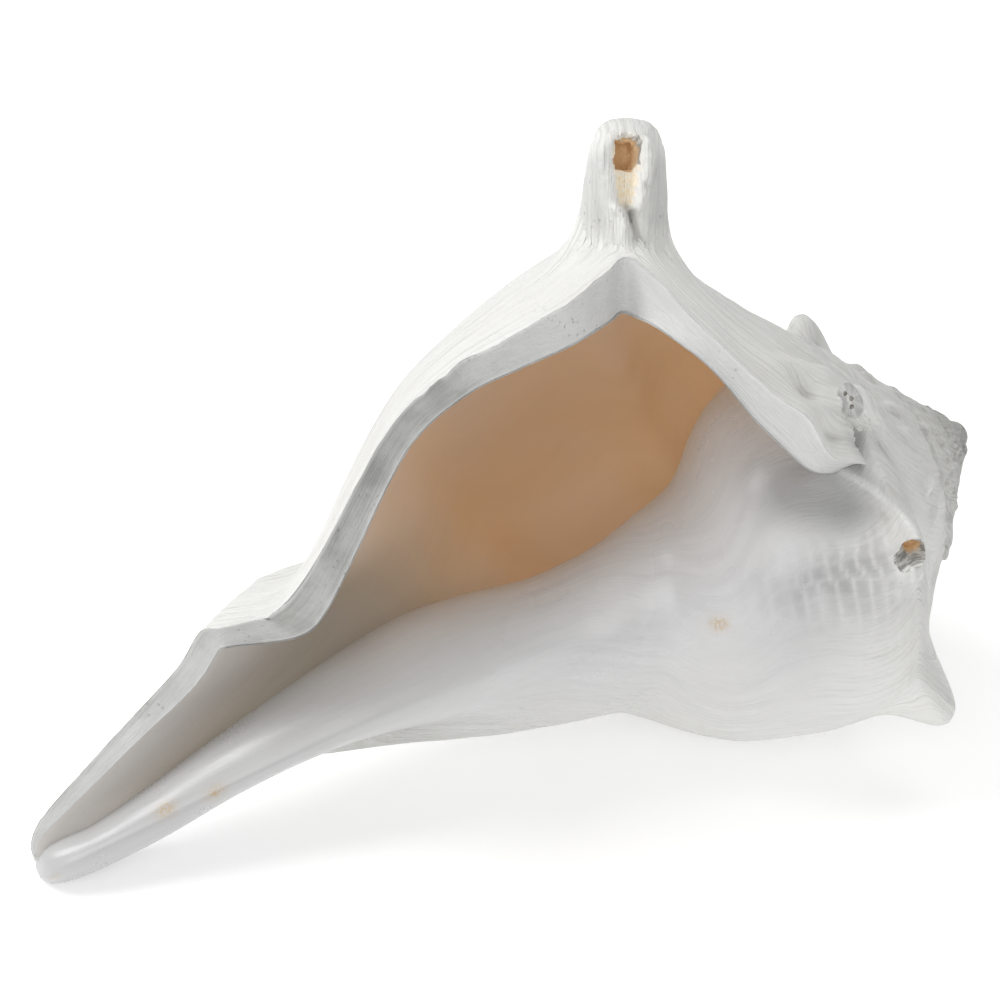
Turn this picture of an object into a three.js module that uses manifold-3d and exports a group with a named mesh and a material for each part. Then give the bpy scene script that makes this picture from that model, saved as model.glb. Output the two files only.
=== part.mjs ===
// Left-coiled knobbed conch shell, lying with its aperture turned up and towards the front.
// Millimetres, +Z up, standing on z = 0, origin under the middle of its bounding box.
import * as THREE from "three";
import { mergeVertices } from "three/addons/utils/BufferGeometryUtils.js";
import Module from "manifold-3d";

const rad = THREE.MathUtils.degToRad;

const APEX_TIP = { radius: 3.4, at: 3.6 };

// Growth: the outline below is one turn's outer section. It is swept round the axis and grows
// by the same factor each turn, with a little extra flare in the last half turn.
const GROWTH_PER_TURN = 1.95;
const LIP_FLARE = 0.062;
const LIP_FLARE_FADE = 0.9;
const APEX_ANGLE = -1300;

// Outer section at full size, from the suture over the ramp, shoulder and body to the canal's
// end: distance from the apex along the axis, and radius.
const SECTION = [
  [23.0, 26.0],
  [25.3, 31.0],
  [29.3, 36.3],
  [34.3, 42.3],
  [39.8, 49.3],
  [45.6, 57.0],
  [52.0, 62.6],
  [61.0, 65.2],
  [74.0, 64.4],
  [87.0, 60.8],
  [99.0, 56.2],
  [109.0, 49.2],
  [118.0, 40.2],
  [127.0, 32.6],
  [137.0, 29.2],
  [147.0, 26.8],
  [158.0, 23.3],
  [169.0, 19.4],
  [179.0, 15.2],
  [188.0, 11.4],
  [195.0, 8.0],
  [199.0, 4.0],
  [200.2, -2.0],
];
const LAST = SECTION.length - 1;

// The canal's outer wall bells out near the lip.
const CANAL_BULGE = { height: 4.8, at: 140, length: 9, angle: 25, reach: 60 };

// Above the bulge the wall is pinched in towards the lip.
const WAIST = { depth: 1.6, place: 11.8, half: 1.3, from: 5, to: 45 };

// Between the two knobs on the aperture's side, the ramp and shoulder sink.
const SADDLE = { depth: 4.6, angle: -214, reach: 18, place: 3.6, half: 2.6 };

// A fold on the turn before, from the broken knob's rim to where the lip ends: its height, its
// half width, its two ends by angle and place, and what a degree and a place measure there.
const FOLD = {
  height: 2.6,
  half: 1.7,
  from: new THREE.Vector2(-281, 7.9),
  to: new THREE.Vector2(-255, 6.0),
  scale: new THREE.Vector2(0.62, 5.0),
};

// The section's last stretch turns in and ends inside the column.
const TUCK = { depth: 2.6, from: 20.9 };

// Column round the axis: distance from the apex, then its radius on the upper side, towards
// the front, on the lower side and at the back.
const COLUMN = [
  [40, 3, 3, 3, 3],
  [60, 7, 8, 6, 6],
  [82, 10.2, 12, 9, 8],
  [97, 11.4, 13.5, 9.6, 8],
  [110, 14.0, 15, 9.2, 8],
  [122, 15.4, 15.4, 7.6, 8],
  [136, 14.3, 14.4, 4.2, 7.5],
  [149, 12.3, 12.4, 2.6, 6.5],
  [166, 9.4, 10.3, 2.6, 5.5],
  [182, 6.4, 9.2, 3.9, 5.0],
  [195, 4.6, 8.4, 4.2, 4.8],
  [201, 5.0, 7.8, 3.9, 4.5],
  [204.8, 5.0, 6.4, 3.2, 3.9],
  [207.2, 3.8, 4.4, 2.2, 2.6],
  [208.2, 1.6, 1.8, 0.9, 1.0],
];
const COLUMN_BLEND = 3.0;

// Angle of the lip's edge, in degrees past the upper side, and the wall's thickness there,
// both by place in SECTION.
const LIP_ANGLE = [
  [0, 84],
  [1, 83],
  [2, 80],
  [3, 72],
  [4, 65],
  [4.7, 59.5],
  [5.4, 53],
  [5.9, 45],
  [6.3, 39.5],
  [6.8, 42],
  [7.5, 44.8],
  [8.3, 43.8],
  [9, 41],
  [10, 42],
  [10.6, 48],
  [11.3, 54.5],
  [12, 55],
  [12.6, 51],
  [13.2, 45],
  [14, 41],
  [15, 31],
  [16, 23],
  [17, 19],
  [18, 18],
  [20, 15],
  [22, 11],
];
const WALL = [
  [0, 5],
  [2, 7],
  [3.4, 6.4],
  [4.4, 4.6],
  [5.4, 5.2],
  [6.2, 8.2],
  [7.2, 7.8],
  [9, 5.6],
  [10.4, 5.0],
  [11.2, 5.8],
  [12.2, 7.2],
  [13, 5.6],
  [13.8, 4.8],
  [15, 5],
  [17, 4.2],
  [19, 3.4],
  [22, 2.4],
];

// Shoulder knobs of the last turn: angle, height at full size, half width in degrees, lean
// towards the apex per millimetre outwards, and place in SECTION.
const KNOBS = [
  [-52, 8.5, 11, 0.4, 5.6],
  [-118, 10.5, 11, 0.3, 5.6],
  [-186, 16, 11, 0.3, 5.7],
  [-249, 11, 9, -0.15, 6.6],
  [-295, 9, 9, 0.1, 6.0],
  [-355, 13, 9, 0.3, 5.6],
];
const KNOB_HALF_WIDTH_ON_SECTION = 1.1;
const KNOB_BLUNTNESS = 1.5;
const KNOB_SURROUND = 17; // degrees either side of a knob that are modelled finely

// The whorl is open this far back from the lip, and solid further in.
const HOLLOW_FROM = -200;
const SEAM = 6; // the two stretches share this much of the turn
const LIP_SWEEP = { from: 5, rows: 5 }; // the rows past this angle fan out to the lip's edge

// The tall hollow spine on the lip: its foot on the shoulder, its lean, and its half width and
// half depth by height.
const SPINE = {
  angle: 32,
  place: 6.2,
  leanAngle: 18,
  leanToApex: 24,
  sections: [
    [-5, 7.5, 4.6],
    [-1.5, 8.6, 6.0],
    [1, 9.2, 6.8],
    [4, 9.1, 7.0],
    [9, 8.5, 6.9],
    [15, 7.9, 6.6],
    [19, 7.3, 6.2],
    [22.4, 6.3, 5.4],
    [24.9, 4.2, 3.6],
    [26.0, 1.8, 1.6],
  ],
};

// The shoulder swells up to the spine's foot.
const SPINE_FOOT = { height: 4.0, reach: 13, half: 1.5, lean: 0.4, rise: 0.9 };

// The hole in its front: height of its middle, its place sideways, slope, and half width and
// half height by depth.
const SPINE_HOLE = {
  height: 18.9,
  side: -1.1,
  slope: 0.2,
  sections: [
    [-4, 2.0, 2.9],
    [0, 2.1, 2.9],
    [4, 2.3, 3.0],
    [6.2, 2.6, 3.3],
    [9, 3.4, 4.2],
  ],
};

// The broken knob's mouth: half width and half height by distance from its tip.
const BROKEN_KNOB = {
  index: 3,
  sections: [
    [-6, 0.9, 1.2],
    [-3, 1.7, 2.4],
    [0, 2.3, 3.4],
    [3, 2.9, 4.2],
  ],
};

// How the shell lies: rolled about its axis, the canal's end dipped, the axis turned about the
// vertical, and the apex this far from the origin. The underside is worn flat on the floor.
const ROLL = -138;
const AXIS_DIP = 16.5;
const AXIS_TURN = -156.3;
const APEX = new THREE.Vector3(92.03, 22.11, 60.6);
const FLOOR_CUT = { width: 600, depth: 50 };

// A smooth curve through stations, as a function of the stations' first value.
function through(stations, column = 1) {
  const x = stations.map((s) => s[0]);
  const y = stations.map((s) => s[column]);
  const end = x.length - 1;
  const slope = x.map((_, i) => {
    const before = Math.max(0, i - 1);
    const after = Math.min(end, i + 1);
    return (y[after] - y[before]) / (x[after] - x[before]);
  });
  return (at) => {
    const t = THREE.MathUtils.clamp(at, x[0], x[end]);
    let i = 0;
    while (i < end - 1 && t > x[i + 1]) i += 1;
    const h = x[i + 1] - x[i];
    const f = (t - x[i]) / h;
    const a = y[i] * (1 + 2 * f) * (1 - f) ** 2;
    const b = y[i + 1] * f * f * (3 - 2 * f);
    return a + b + h * f * (1 - f) * (slope[i] * (1 - f) - slope[i + 1] * f);
  };
}

const lipAngle = through(LIP_ANGLE);
const wallThickness = through(WALL);
const columnSides = [1, 2, 3, 4].map((side) => through(COLUMN, side));
const sectionAt = through(SECTION.map(([a], i) => [i, a]));
const sectionRadius = through(SECTION.map(([, r], i) => [i, r]));

function growth(phi) {
  const turn = (Math.log(GROWTH_PER_TURN) / (2 * Math.PI)) * phi;
  const flare = 1 + LIP_FLARE * Math.exp(phi / LIP_FLARE_FADE);
  return (Math.exp(turn) * flare) / (1 + LIP_FLARE);
}

function columnRadius(phi, a) {
  const [top, front, bottom, back] = columnSides.map((side) => side(a));
  const c = Math.cos(phi) / (Math.cos(phi) >= 0 ? top : bottom);
  const s = Math.sin(phi) / (Math.sin(phi) >= 0 ? front : back);
  return 1 / Math.hypot(c, s);
}

// Larger of two radii, rounded where they meet.
function blend(x, y) {
  return 0.5 * (x + y + Math.hypot(x - y, COLUMN_BLEND));
}

// Bell curve, 1 at the middle.
function bell(distance) {
  return Math.exp(-(distance ** 2));
}

// Push of the knobs along the axis and in radius.
function knobPush(degrees, u, size) {
  let along = 0;
  let out = 0;
  for (const [angle, height, halfWidth, lean, place] of KNOBS) {
    const across = ((degrees - angle) / halfWidth) ** 2;
    const down = ((u - place) / KNOB_HALF_WIDTH_ON_SECTION) ** 2;
    const lift = height * size * Math.exp(-((across + down) ** KNOB_BLUNTNESS));
    along -= lean * lift;
    out += Math.sqrt(1 - lean ** 2) * lift;
  }
  return [along, out];
}

// Height of the fold at an angle and a place, by its distance from the fold's crest.
function foldPush(degrees, u) {
  const start = FOLD.from.clone().multiply(FOLD.scale);
  const reach = FOLD.to.clone().multiply(FOLD.scale).sub(start);
  const point = new THREE.Vector2(degrees, u).multiply(FOLD.scale).sub(start);
  const share = THREE.MathUtils.clamp(point.dot(reach) / reach.lengthSq(), 0, 1);
  return FOLD.height * bell(point.distanceTo(reach.multiplyScalar(share)) / FOLD.half);
}

// Distance along the axis and radius of the outside, at an angle and a place in SECTION.
function outside(phi, u, withKnobs) {
  const size = growth(phi);
  const degrees = THREE.MathUtils.radToDeg(phi);
  const station = sectionAt(u);
  const bulge =
    bell((station - CANAL_BULGE.at) / CANAL_BULGE.length) *
    bell((degrees - CANAL_BULGE.angle) / CANAL_BULGE.reach);
  const pinch =
    THREE.MathUtils.smoothstep(degrees, WAIST.from, WAIST.to) * bell((u - WAIST.place) / WAIST.half);
  let a = size * station;
  let r = size * sectionRadius(u) + CANAL_BULGE.height * bulge - WAIST.depth * pinch;
  if (withKnobs) {
    const [along, out] = knobPush(degrees, u, size);
    const foot =
      SPINE_FOOT.height *
      bell((degrees - SPINE.angle) / SPINE_FOOT.reach) *
      bell((u - SPINE.place) / SPINE_FOOT.half);
    const saddle =
      bell((degrees - SADDLE.angle) / SADDLE.reach) * bell((u - SADDLE.place) / SADDLE.half);
    a += along - SPINE_FOOT.lean * foot + SADDLE.depth * size * saddle;
    r += out + SPINE_FOOT.rise * foot + foldPush(degrees, u);
  }
  const tuck = TUCK.depth * THREE.MathUtils.smoothstep(u, TUCK.from, LAST);
  return [a, blend(r, columnRadius(phi, a)) - tuck];
}

// The shell's own frame: x points to the photograph's upper side, z from the apex to the canal.
// The coil turns from +x to -y, which makes it left-handed.
function inShell(a, phi, r) {
  return new THREE.Vector3(r * Math.cos(phi), -r * Math.sin(phi), a);
}

function outsidePoint(phi, u, withKnobs = true) {
  const [a, r] = outside(phi, u, withKnobs);
  return inShell(a, phi, r);
}

// The inner face lies one wall's thickness inside the outside without its knobs. Its direction
// comes from points this far to either side, in places and in radians.
const NEARBY = 0.01;
function insidePoint(phi, u) {
  const alongU = outsidePoint(phi, Math.min(u + NEARBY, LAST), false);
  alongU.sub(outsidePoint(phi, Math.max(u - NEARBY, 0), false));
  const alongPhi = outsidePoint(phi + NEARBY, u, false).sub(outsidePoint(phi - NEARBY, u, false));
  const inward = alongPhi.cross(alongU).normalize();
  return outsidePoint(phi, u, false).addScaledVector(inward, wallThickness(u));
}

// From the shell's own frame to the part's frame.
function shellPlacement() {
  const up = new THREE.Vector3(0, 0, 1);
  const across = new THREE.Vector3(0, 1, 0);
  const turned = new THREE.Quaternion().setFromAxisAngle(up, rad(AXIS_TURN));
  turned.multiply(new THREE.Quaternion().setFromAxisAngle(across, rad(90 + AXIS_DIP)));
  turned.multiply(new THREE.Quaternion().setFromAxisAngle(up, rad(ROLL)));
  return new THREE.Matrix4().compose(APEX, turned, new THREE.Vector3(1, 1, 1));
}

const placement = shellPlacement();
const wasm = await Module();
wasm.setup();

// A closed mesh from points in the shell's frame and triangles, as a solid in the part's frame.
function solidFrom(points, triangles) {
  const corners = triangles.flat().map((i) => points[i]);
  const geometry = new THREE.BufferGeometry().setFromPoints(corners).applyMatrix4(placement);
  return solidOf(geometry);
}

function solidOf(geometry, tolerance = 1e-5) {
  geometry.deleteAttribute("normal");
  geometry.deleteAttribute("uv");
  const merged = mergeVertices(geometry, tolerance);
  return new wasm.Manifold(
    new wasm.Mesh({
      numProp: 3,
      vertProperties: merged.attributes.position.array,
      triVerts: new Uint32Array(merged.index.array),
    }),
  );
}

// Rings of equal count joined into a skin, with a cap of its own at each end.
function loft(rings, cap) {
  const count = rings[0].length;
  const points = rings.flat();
  const triangles = [];
  for (let i = 0; i < rings.length - 1; i += 1) {
    for (let j = 0; j < count; j += 1) {
      const a = i * count + j;
      const b = i * count + ((j + 1) % count);
      triangles.push([a, b + count, b], [a, a + count, b + count]);
    }
  }
  const last = (rings.length - 1) * count;
  for (const [a, b, c] of cap(rings[0])) triangles.push([a, b, c]);
  for (const [a, b, c] of cap(rings.at(-1))) triangles.push([a + last, c + last, b + last]);
  return solidFrom(points, triangles);
}

// A cap for a ring whose second half runs back along its first half.
function stripCap(ring) {
  const half = ring.length / 2;
  const triangles = [];
  for (let j = 0; j < half - 1; j += 1) {
    const back = ring.length - 1 - j;
    triangles.push([j, j + 1, back - 1], [j, back - 1, back]);
  }
  return triangles;
}

function fanCap(ring) {
  return ring.slice(2).map((_, j) => [0, j + 1, j + 2]);
}

// Angles in degrees from one to another, close together over the knobs.
function anglesBetween(from, to, coarse, fine) {
  const angles = [];
  for (let at = from; at < to - fine / 2; ) {
    angles.push(at);
    const nearKnob = KNOBS.some(([angle]) => Math.abs(at - angle) < KNOB_SURROUND);
    at += nearKnob ? fine : coarse;
  }
  return [...angles, to];
}

// A solid stretch of whorl: the outside down to two points on the axis.
function filledWhorl(from, to, places, coarse, fine, more = []) {
  const rows = [...anglesBetween(from, to, coarse, fine), ...more].map((angle) =>
    places.map((u) => outsidePoint(rad(angle), u)),
  );
  const width = places.length;
  const points = rows.flat();
  const top = points.push(new THREE.Vector3(0, 0, Math.min(...rows.map((row) => row[0].z)))) - 1;
  const end = points.push(new THREE.Vector3(0, 0, Math.max(...rows.map((row) => row.at(-1).z)))) - 1;
  const triangles = [];
  for (let i = 0; i < rows.length - 1; i += 1) {
    const here = i * width;
    const next = here + width;
    triangles.push([top, here, next]);
    triangles.push([end, next + width - 1, here + width - 1]);
    for (let j = 0; j < width - 1; j += 1) {
      triangles.push([here + j, here + j + 1, next + j + 1]);
      triangles.push([here + j, next + j + 1, next + j]);
    }
  }
  for (const [row, flip] of [[0, true], [rows.length - 1, false]]) {
    const ids = [top, ...places.map((_, j) => row * width + j), end];
    const flat = ids.map((id) => {
      const p = points[id];
      return new THREE.Vector2(p.z, Math.hypot(p.x, p.y));
    });
    for (const [a, b, c] of THREE.ShapeUtils.triangulateShape(flat, [])) {
      const face = [ids[a], ids[b], ids[c]];
      triangles.push(flip ? face : face.reverse());
    }
  }
  return solidFrom(points, triangles);
}

// The open stretch of the last turn, out to the lip.
function openWhorl(places) {
  const { from, rows } = LIP_SWEEP;
  const angles = [HOLLOW_FROM - SEAM, ...anglesBetween(HOLLOW_FROM, from, 12, 5.5)].map(
    (angle) => () => angle,
  );
  for (let row = 1; row <= rows; row += 1) {
    angles.push((u) => from + (row / rows) * (lipAngle(u) - from));
  }
  const rings = angles.map((angle) => [
    ...places.map((u) => insidePoint(rad(angle(u)), u)),
    ...places.toReversed().map((u) => outsidePoint(rad(angle(u)), u)),
  ]);
  return loft(rings, stripCap);
}

function column() {
  const stations = [40, 60, 82, 97, 108, 119, 130, 141, 153, 166, 180, 191, 199, 204, 207.2, 208.2];
  const sides = 24;
  const rings = stations.map((a) =>
    Array.from({ length: sides }, (_, j) => {
      const phi = (2 * Math.PI * j) / sides;
      return inShell(a, phi, columnRadius(phi, a));
    }),
  );
  return loft(rings, fanCap);
}

// Where the lip spine stands, and unit vectors up its length and out of its open front.
function spineFrame() {
  const turn = rad(SPINE.leanAngle);
  const lean = rad(SPINE.leanToApex);
  const up = inShell(-Math.sin(lean), turn, Math.cos(lean));
  const front = new THREE.Vector3(0, -1, 0);
  front.addScaledVector(up, -front.dot(up)).normalize();
  return { foot: outsidePoint(rad(SPINE.angle), SPINE.place, false), up, front };
}

// A tube of oval rings from a foot point: height, half width and half depth.
function ovalTube({ foot, up, front }, sections, sides) {
  const side = new THREE.Vector3().crossVectors(up, front);
  const rings = sections.map(([height, halfWidth, halfDepth]) =>
    Array.from({ length: sides }, (_, j) => {
      const t = (2 * Math.PI * j) / sides;
      return foot
        .clone()
        .addScaledVector(up, height)
        .addScaledVector(side, halfWidth * Math.cos(t))
        .addScaledVector(front, halfDepth * Math.sin(t));
    }),
  );
  return loft(rings, fanCap);
}

// The hole near the lip spine's tip runs back and down into it.
function spineHole(frame) {
  const side = new THREE.Vector3().crossVectors(frame.up, frame.front);
  const foot = frame.foot.clone().addScaledVector(frame.up, SPINE_HOLE.height);
  foot.addScaledVector(side, SPINE_HOLE.side);
  const into = frame.front.clone().addScaledVector(frame.up, SPINE_HOLE.slope).normalize();
  const across = frame.up.clone().addScaledVector(into, -frame.up.dot(into)).normalize();
  return ovalTube({ foot, up: into, front: across }, SPINE_HOLE.sections, 14);
}

// The broken mouth of the shoulder spine nearest the front.
function brokenMouth() {
  const [angle, , , lean, place] = KNOBS[BROKEN_KNOB.index];
  const phi = rad(angle);
  const foot = outsidePoint(phi, place);
  const up = inShell(-lean, phi, 1).normalize();
  const front = new THREE.Vector3(0, 0, -1).addScaledVector(up, up.z).normalize();
  return ovalTube({ foot, up, front }, BROKEN_KNOB.sections, 12);
}

const bodyPlaces = [0, 1, 2, 3, 3.8, 4.5, 5.1, 5.6, 6.1, 6.6, 7.3, 8.3, 9.4, 10.3, 11.2, 12.1, 12.9];
bodyPlaces.push(13.6, 14.4, 15.6, 17, 18.4, 19.8, 21, 22);
const spirePlaces = [0, 1.2, 2.4, 3.6, 4.6, 5.3, 6, 7, 8.4, 10];

// The rounded tip that the coil starts from.
function apexTip() {
  const tip = new THREE.SphereGeometry(APEX_TIP.radius, 16, 10).translate(0, 0, APEX_TIP.at);
  return solidOf(tip.applyMatrix4(placement));
}

function geometryOf(solid) {
  const mesh = solid.getMesh();
  const geometry = new THREE.BufferGeometry();
  geometry.setAttribute("position", new THREE.BufferAttribute(mesh.vertProperties, 3));
  geometry.setIndex(new THREE.BufferAttribute(mesh.triVerts, 1));
  return geometry;
}

// The joined whorls leave specks where their faces meet; the shell is the one large body.
function largestOf(solid) {
  return solid.decompose().sort((p, q) => q.volume() - p.volume())[0];
}

// Everything below the floor.
function underFloor() {
  const { width, depth } = FLOOR_CUT;
  return solidOf(new THREE.BoxGeometry(width, width, depth).translate(0, 0, -depth / 2));
}

const spine = spineFrame();
const grown = [
  filledWhorl(APEX_ANGLE, -1150, spirePlaces, 15, 15),
  filledWhorl(-1150, -1000, spirePlaces, 15, 15),
  filledWhorl(-1000, -860, spirePlaces, 14, 14),
  filledWhorl(-860, -720, spirePlaces, 14, 14),
  filledWhorl(-720, -560, spirePlaces, 13, 13),
  filledWhorl(-560, -400, bodyPlaces, 13, 6),
  filledWhorl(-400, -272, bodyPlaces, 12, 5.5),
  filledWhorl(-272, HOLLOW_FROM - SEAM, bodyPlaces, 12, 5.5, [HOLLOW_FROM]),
  openWhorl(bodyPlaces),
  column(),
  apexTip(),
  ovalTube(spine, SPINE.sections, 20),
];
const whole = grown.slice(1).reduce((joined, piece) => joined.add(piece), grown[0]);
const carved = [spineHole(spine), brokenMouth(), underFloor()].reduce(
  (kept, cut) => kept.subtract(cut),
  whole,
);
const shell = largestOf(solidOf(geometryOf(carved).toNonIndexed(), 1e-3));

const geometry = geometryOf(shell);
geometry.computeVertexNormals();

const chalk = new THREE.MeshStandardMaterial({ color: 0xe8e4dc, roughness: 0.7, metalness: 0 });
const conch = new THREE.Mesh(geometry, chalk);
conch.name = "conch_shell";

const group = new THREE.Group();
group.add(conch);
export default group;
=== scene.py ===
# Left-coiled knobbed conch shell, bleached and worn, lying with its aperture turned up.
# One grown piece, modelled in millimetres in the shell's own frame and placed in metres.
import math

import bmesh
import bpy
import numpy as np
from mathutils import Matrix, Vector
from mathutils.geometry import tessellate_polygon


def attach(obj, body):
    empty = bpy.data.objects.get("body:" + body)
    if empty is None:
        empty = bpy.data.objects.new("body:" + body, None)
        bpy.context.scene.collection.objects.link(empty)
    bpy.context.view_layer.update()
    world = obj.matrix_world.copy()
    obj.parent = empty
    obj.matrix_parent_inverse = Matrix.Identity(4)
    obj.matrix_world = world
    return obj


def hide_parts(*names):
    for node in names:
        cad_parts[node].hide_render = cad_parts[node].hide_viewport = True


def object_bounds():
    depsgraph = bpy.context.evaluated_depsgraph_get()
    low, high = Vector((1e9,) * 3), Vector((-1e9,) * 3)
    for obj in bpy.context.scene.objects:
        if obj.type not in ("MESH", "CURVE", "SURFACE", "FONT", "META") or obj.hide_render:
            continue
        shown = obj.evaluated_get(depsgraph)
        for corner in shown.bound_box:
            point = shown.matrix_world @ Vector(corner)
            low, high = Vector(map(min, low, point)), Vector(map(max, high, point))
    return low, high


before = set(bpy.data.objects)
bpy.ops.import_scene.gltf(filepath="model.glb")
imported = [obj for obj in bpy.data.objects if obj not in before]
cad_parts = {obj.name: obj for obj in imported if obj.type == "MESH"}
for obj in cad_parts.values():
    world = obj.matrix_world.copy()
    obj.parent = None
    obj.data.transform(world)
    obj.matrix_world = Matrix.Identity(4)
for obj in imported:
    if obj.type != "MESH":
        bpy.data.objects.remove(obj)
cad_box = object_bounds()

MM = 0.001
NODE = "conch_shell"
BODY = "root"

# Growth: one turn's outer section is swept round the axis and grows by the same factor each
# turn, with a little extra flare in the last half turn.
GROWTH_PER_TURN = 1.95
LIP_FLARE = 0.062
LIP_FLARE_FADE = 0.9
APEX_ANGLE = -1300
APEX_TIP = {"radius": 3.4, "at": 3.6}

# Outer section at full size, from the suture over the ramp, shoulder and body to the canal's
# end: distance from the apex along the axis, and radius.
SECTION = [
    (23.0, 26.0), (25.3, 31.0), (29.3, 36.3), (34.3, 42.3), (39.8, 49.3), (45.6, 57.0),
    (52.0, 62.6), (61.0, 65.2), (74.0, 64.4), (87.0, 60.8), (99.0, 56.2), (109.0, 49.2),
    (118.0, 40.2), (127.0, 32.6), (137.0, 29.2), (147.0, 26.8), (158.0, 23.3), (169.0, 19.4),
    (179.0, 15.2), (188.0, 11.4), (195.0, 8.0), (199.0, 4.0), (200.2, -2.0),
]
LAST = len(SECTION) - 1

# The canal's outer wall bells out near the lip.
CANAL_BULGE = {"height": 4.8, "at": 140, "length": 9, "angle": 25, "reach": 60}

# Above the bulge the wall is pinched in towards the lip.
WAIST = {"depth": 1.6, "place": 11.8, "half": 1.3, "from": 5, "to": 45}

# Between the two knobs on the aperture's side, the ramp and shoulder sink.
SADDLE = {"depth": 4.6, "angle": -214, "reach": 18, "place": 3.6, "half": 2.6}

# A fold on the turn before, from the broken knob's rim to where the lip ends: its height, its
# half width, and its two ends by angle and place.
FOLD = {"height": 2.6, "half": 1.7, "from": (-281, 7.9), "to": (-255, 6.0)}

# The section's last stretch turns in and ends inside the column: there the blend's rounding and
# the relief fade out towards one place, on all of the coil before two angles.
TUCK = {"depth": 0.9, "from": 19.6}
ENDING = {"blend": 16.5, "relief": 18.5, "full": 20.5, "angles": (-120, -60)}

# Column round the axis: distance from the apex, then its radius on the upper side, towards
# the front, on the lower side and at the back.
COLUMN = [
    (40, 3, 3, 3, 3), (60, 7, 8, 6, 6), (82, 10.2, 12, 9, 8), (97, 11.4, 13.5, 9.6, 8),
    (110, 14.0, 15, 9.2, 8), (122, 15.4, 15.4, 7.6, 8), (136, 14.3, 14.4, 4.2, 7.5),
    (149, 12.3, 12.4, 2.6, 6.5), (166, 9.4, 10.3, 2.6, 5.5), (182, 6.4, 9.2, 3.9, 5.0),
    (195, 4.6, 8.4, 4.2, 4.8), (201, 5.0, 7.8, 3.9, 4.5), (204.8, 5.0, 6.4, 3.2, 3.9),
    (207.2, 3.8, 4.4, 2.2, 2.6), (208.2, 1.6, 1.8, 0.9, 1.0),
]
COLUMN_BLEND = 3.0

# Angle of the lip's edge past the upper side, and the wall's thickness there, both by place
# in SECTION.
LIP_ANGLE = [
    (0, 84), (1, 83), (2, 80), (3, 72), (4, 65), (4.7, 59.5), (5.4, 53), (5.9, 45), (6.3, 39.5),
    (6.8, 42), (7.5, 44.8), (8.3, 43.8), (9, 41), (10, 42), (10.6, 48), (11.3, 54.5), (12, 55),
    (12.6, 51), (13.2, 45), (14, 41), (15, 31), (16, 23), (17, 19), (18, 18), (20, 15), (22, 11),
]
WALL = [
    (0, 5), (2, 7), (3.4, 6.4), (4.4, 4.6), (5.4, 5.2), (6.2, 8.2), (7.2, 7.8), (9, 5.6), (10.4, 5.0),
    (11.2, 5.8), (12.2, 7.2), (13, 5.6), (13.8, 4.8), (15, 5), (17, 4.2), (19, 3.4), (22, 2.4),
]

# Shoulder knobs: angle, height at full size, half width in degrees, lean towards the apex per
# millimetre outwards, and place in SECTION.
KNOBS = [
    (-52, 8.5, 11, 0.4, 5.6), (-118, 10.5, 11, 0.3, 5.6), (-186, 16, 11, 0.3, 5.7),
    (-249, 13, 9, -0.12, 6.5), (-293, 11, 9, 0.1, 6.1), (-355, 13, 9, 0.3, 5.6),
]
KNOB_HALF_WIDTH_ON_SECTION = 1.1
KNOB_BLUNTNESS = 3.0

# Small beads on the spire's shoulder, one every few degrees.
BEADS = {"spacing": 12.5, "height": 4.4, "place": 5.3, "half_width": 1.1, "until": -385}
SUTURE_BEADS = {"spacing": 13, "height": 3.6, "place": 3.1, "half_width": 0.6, "until": -222}

# The coil is open from this angle to the lip, and solid further in. The open stretch starts
# with a row this many degrees back and this many millimetres under the outside.
HOLLOW_FROM = -185
SEAM = 6
SUNK = 0.6

# The tall hollow spine on the lip: its foot on the shoulder, its lean, and its half width and
# half depth by height.
SPINE_ANGLE = 32
SPINE_PLACE = 6.2
SPINE_LEAN_ANGLE = 18
SPINE_LEAN_TO_APEX = 24
SPINE_SECTIONS = [
    (-5, 7.5, 4.6), (-1.5, 8.8, 6.0), (1, 9.0, 6.8), (6.6, 8.6, 7.0), (10.4, 8.3, 6.9),
    (14.2, 8.0, 6.7), (17.1, 7.6, 6.5), (20, 7.2, 6.2), (21.8, 6.7, 5.8), (23.7, 5.9, 5.0),
    (25.2, 4.5, 3.8), (25.8, 3.2, 2.8), (26.1, 1.4, 1.2),
]
SPINE_FOOT_BUMP = {"height": 4.0, "angle": 13.0, "place": 1.5}

# The hole in its front: height of its middle, slope, and half width and half height by depth.
SPINE_HOLE = {"height": 18.9, "side": -1.1, "slope": 0.2, "rim_at": 6.6}
SPINE_HOLE_SECTIONS = [(-4, 2.0, 2.9), (0, 2.1, 2.9), (4, 2.3, 3.0), (6.2, 2.6, 3.3), (9, 3.4, 4.2)]

# The broken knob's mouth: half width and half height by distance from its tip.
BROKEN_KNOB = 3
BROKEN_MOUTH = {"side": 1.2, "front": 0.2, "slope": -0.15, "rim_at": -3.1}
BROKEN_MOUTH_SECTIONS = [
    (-8, 0.9, 1.1), (-5, 1.5, 1.9), (-2.5, 2.2, 3.2), (0, 2.9, 4.4), (3, 3.6, 5.4),
]

# How the shell lies: rolled about its axis, the canal's end dipped, the axis turned about the
# vertical, and the apex this far from the origin. The underside is worn flat on the floor.
ROLL = -138
AXIS_DIP = 16.5
AXIS_TURN = -156.3
APEX = (92.03, 22.11, 60.6)

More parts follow.
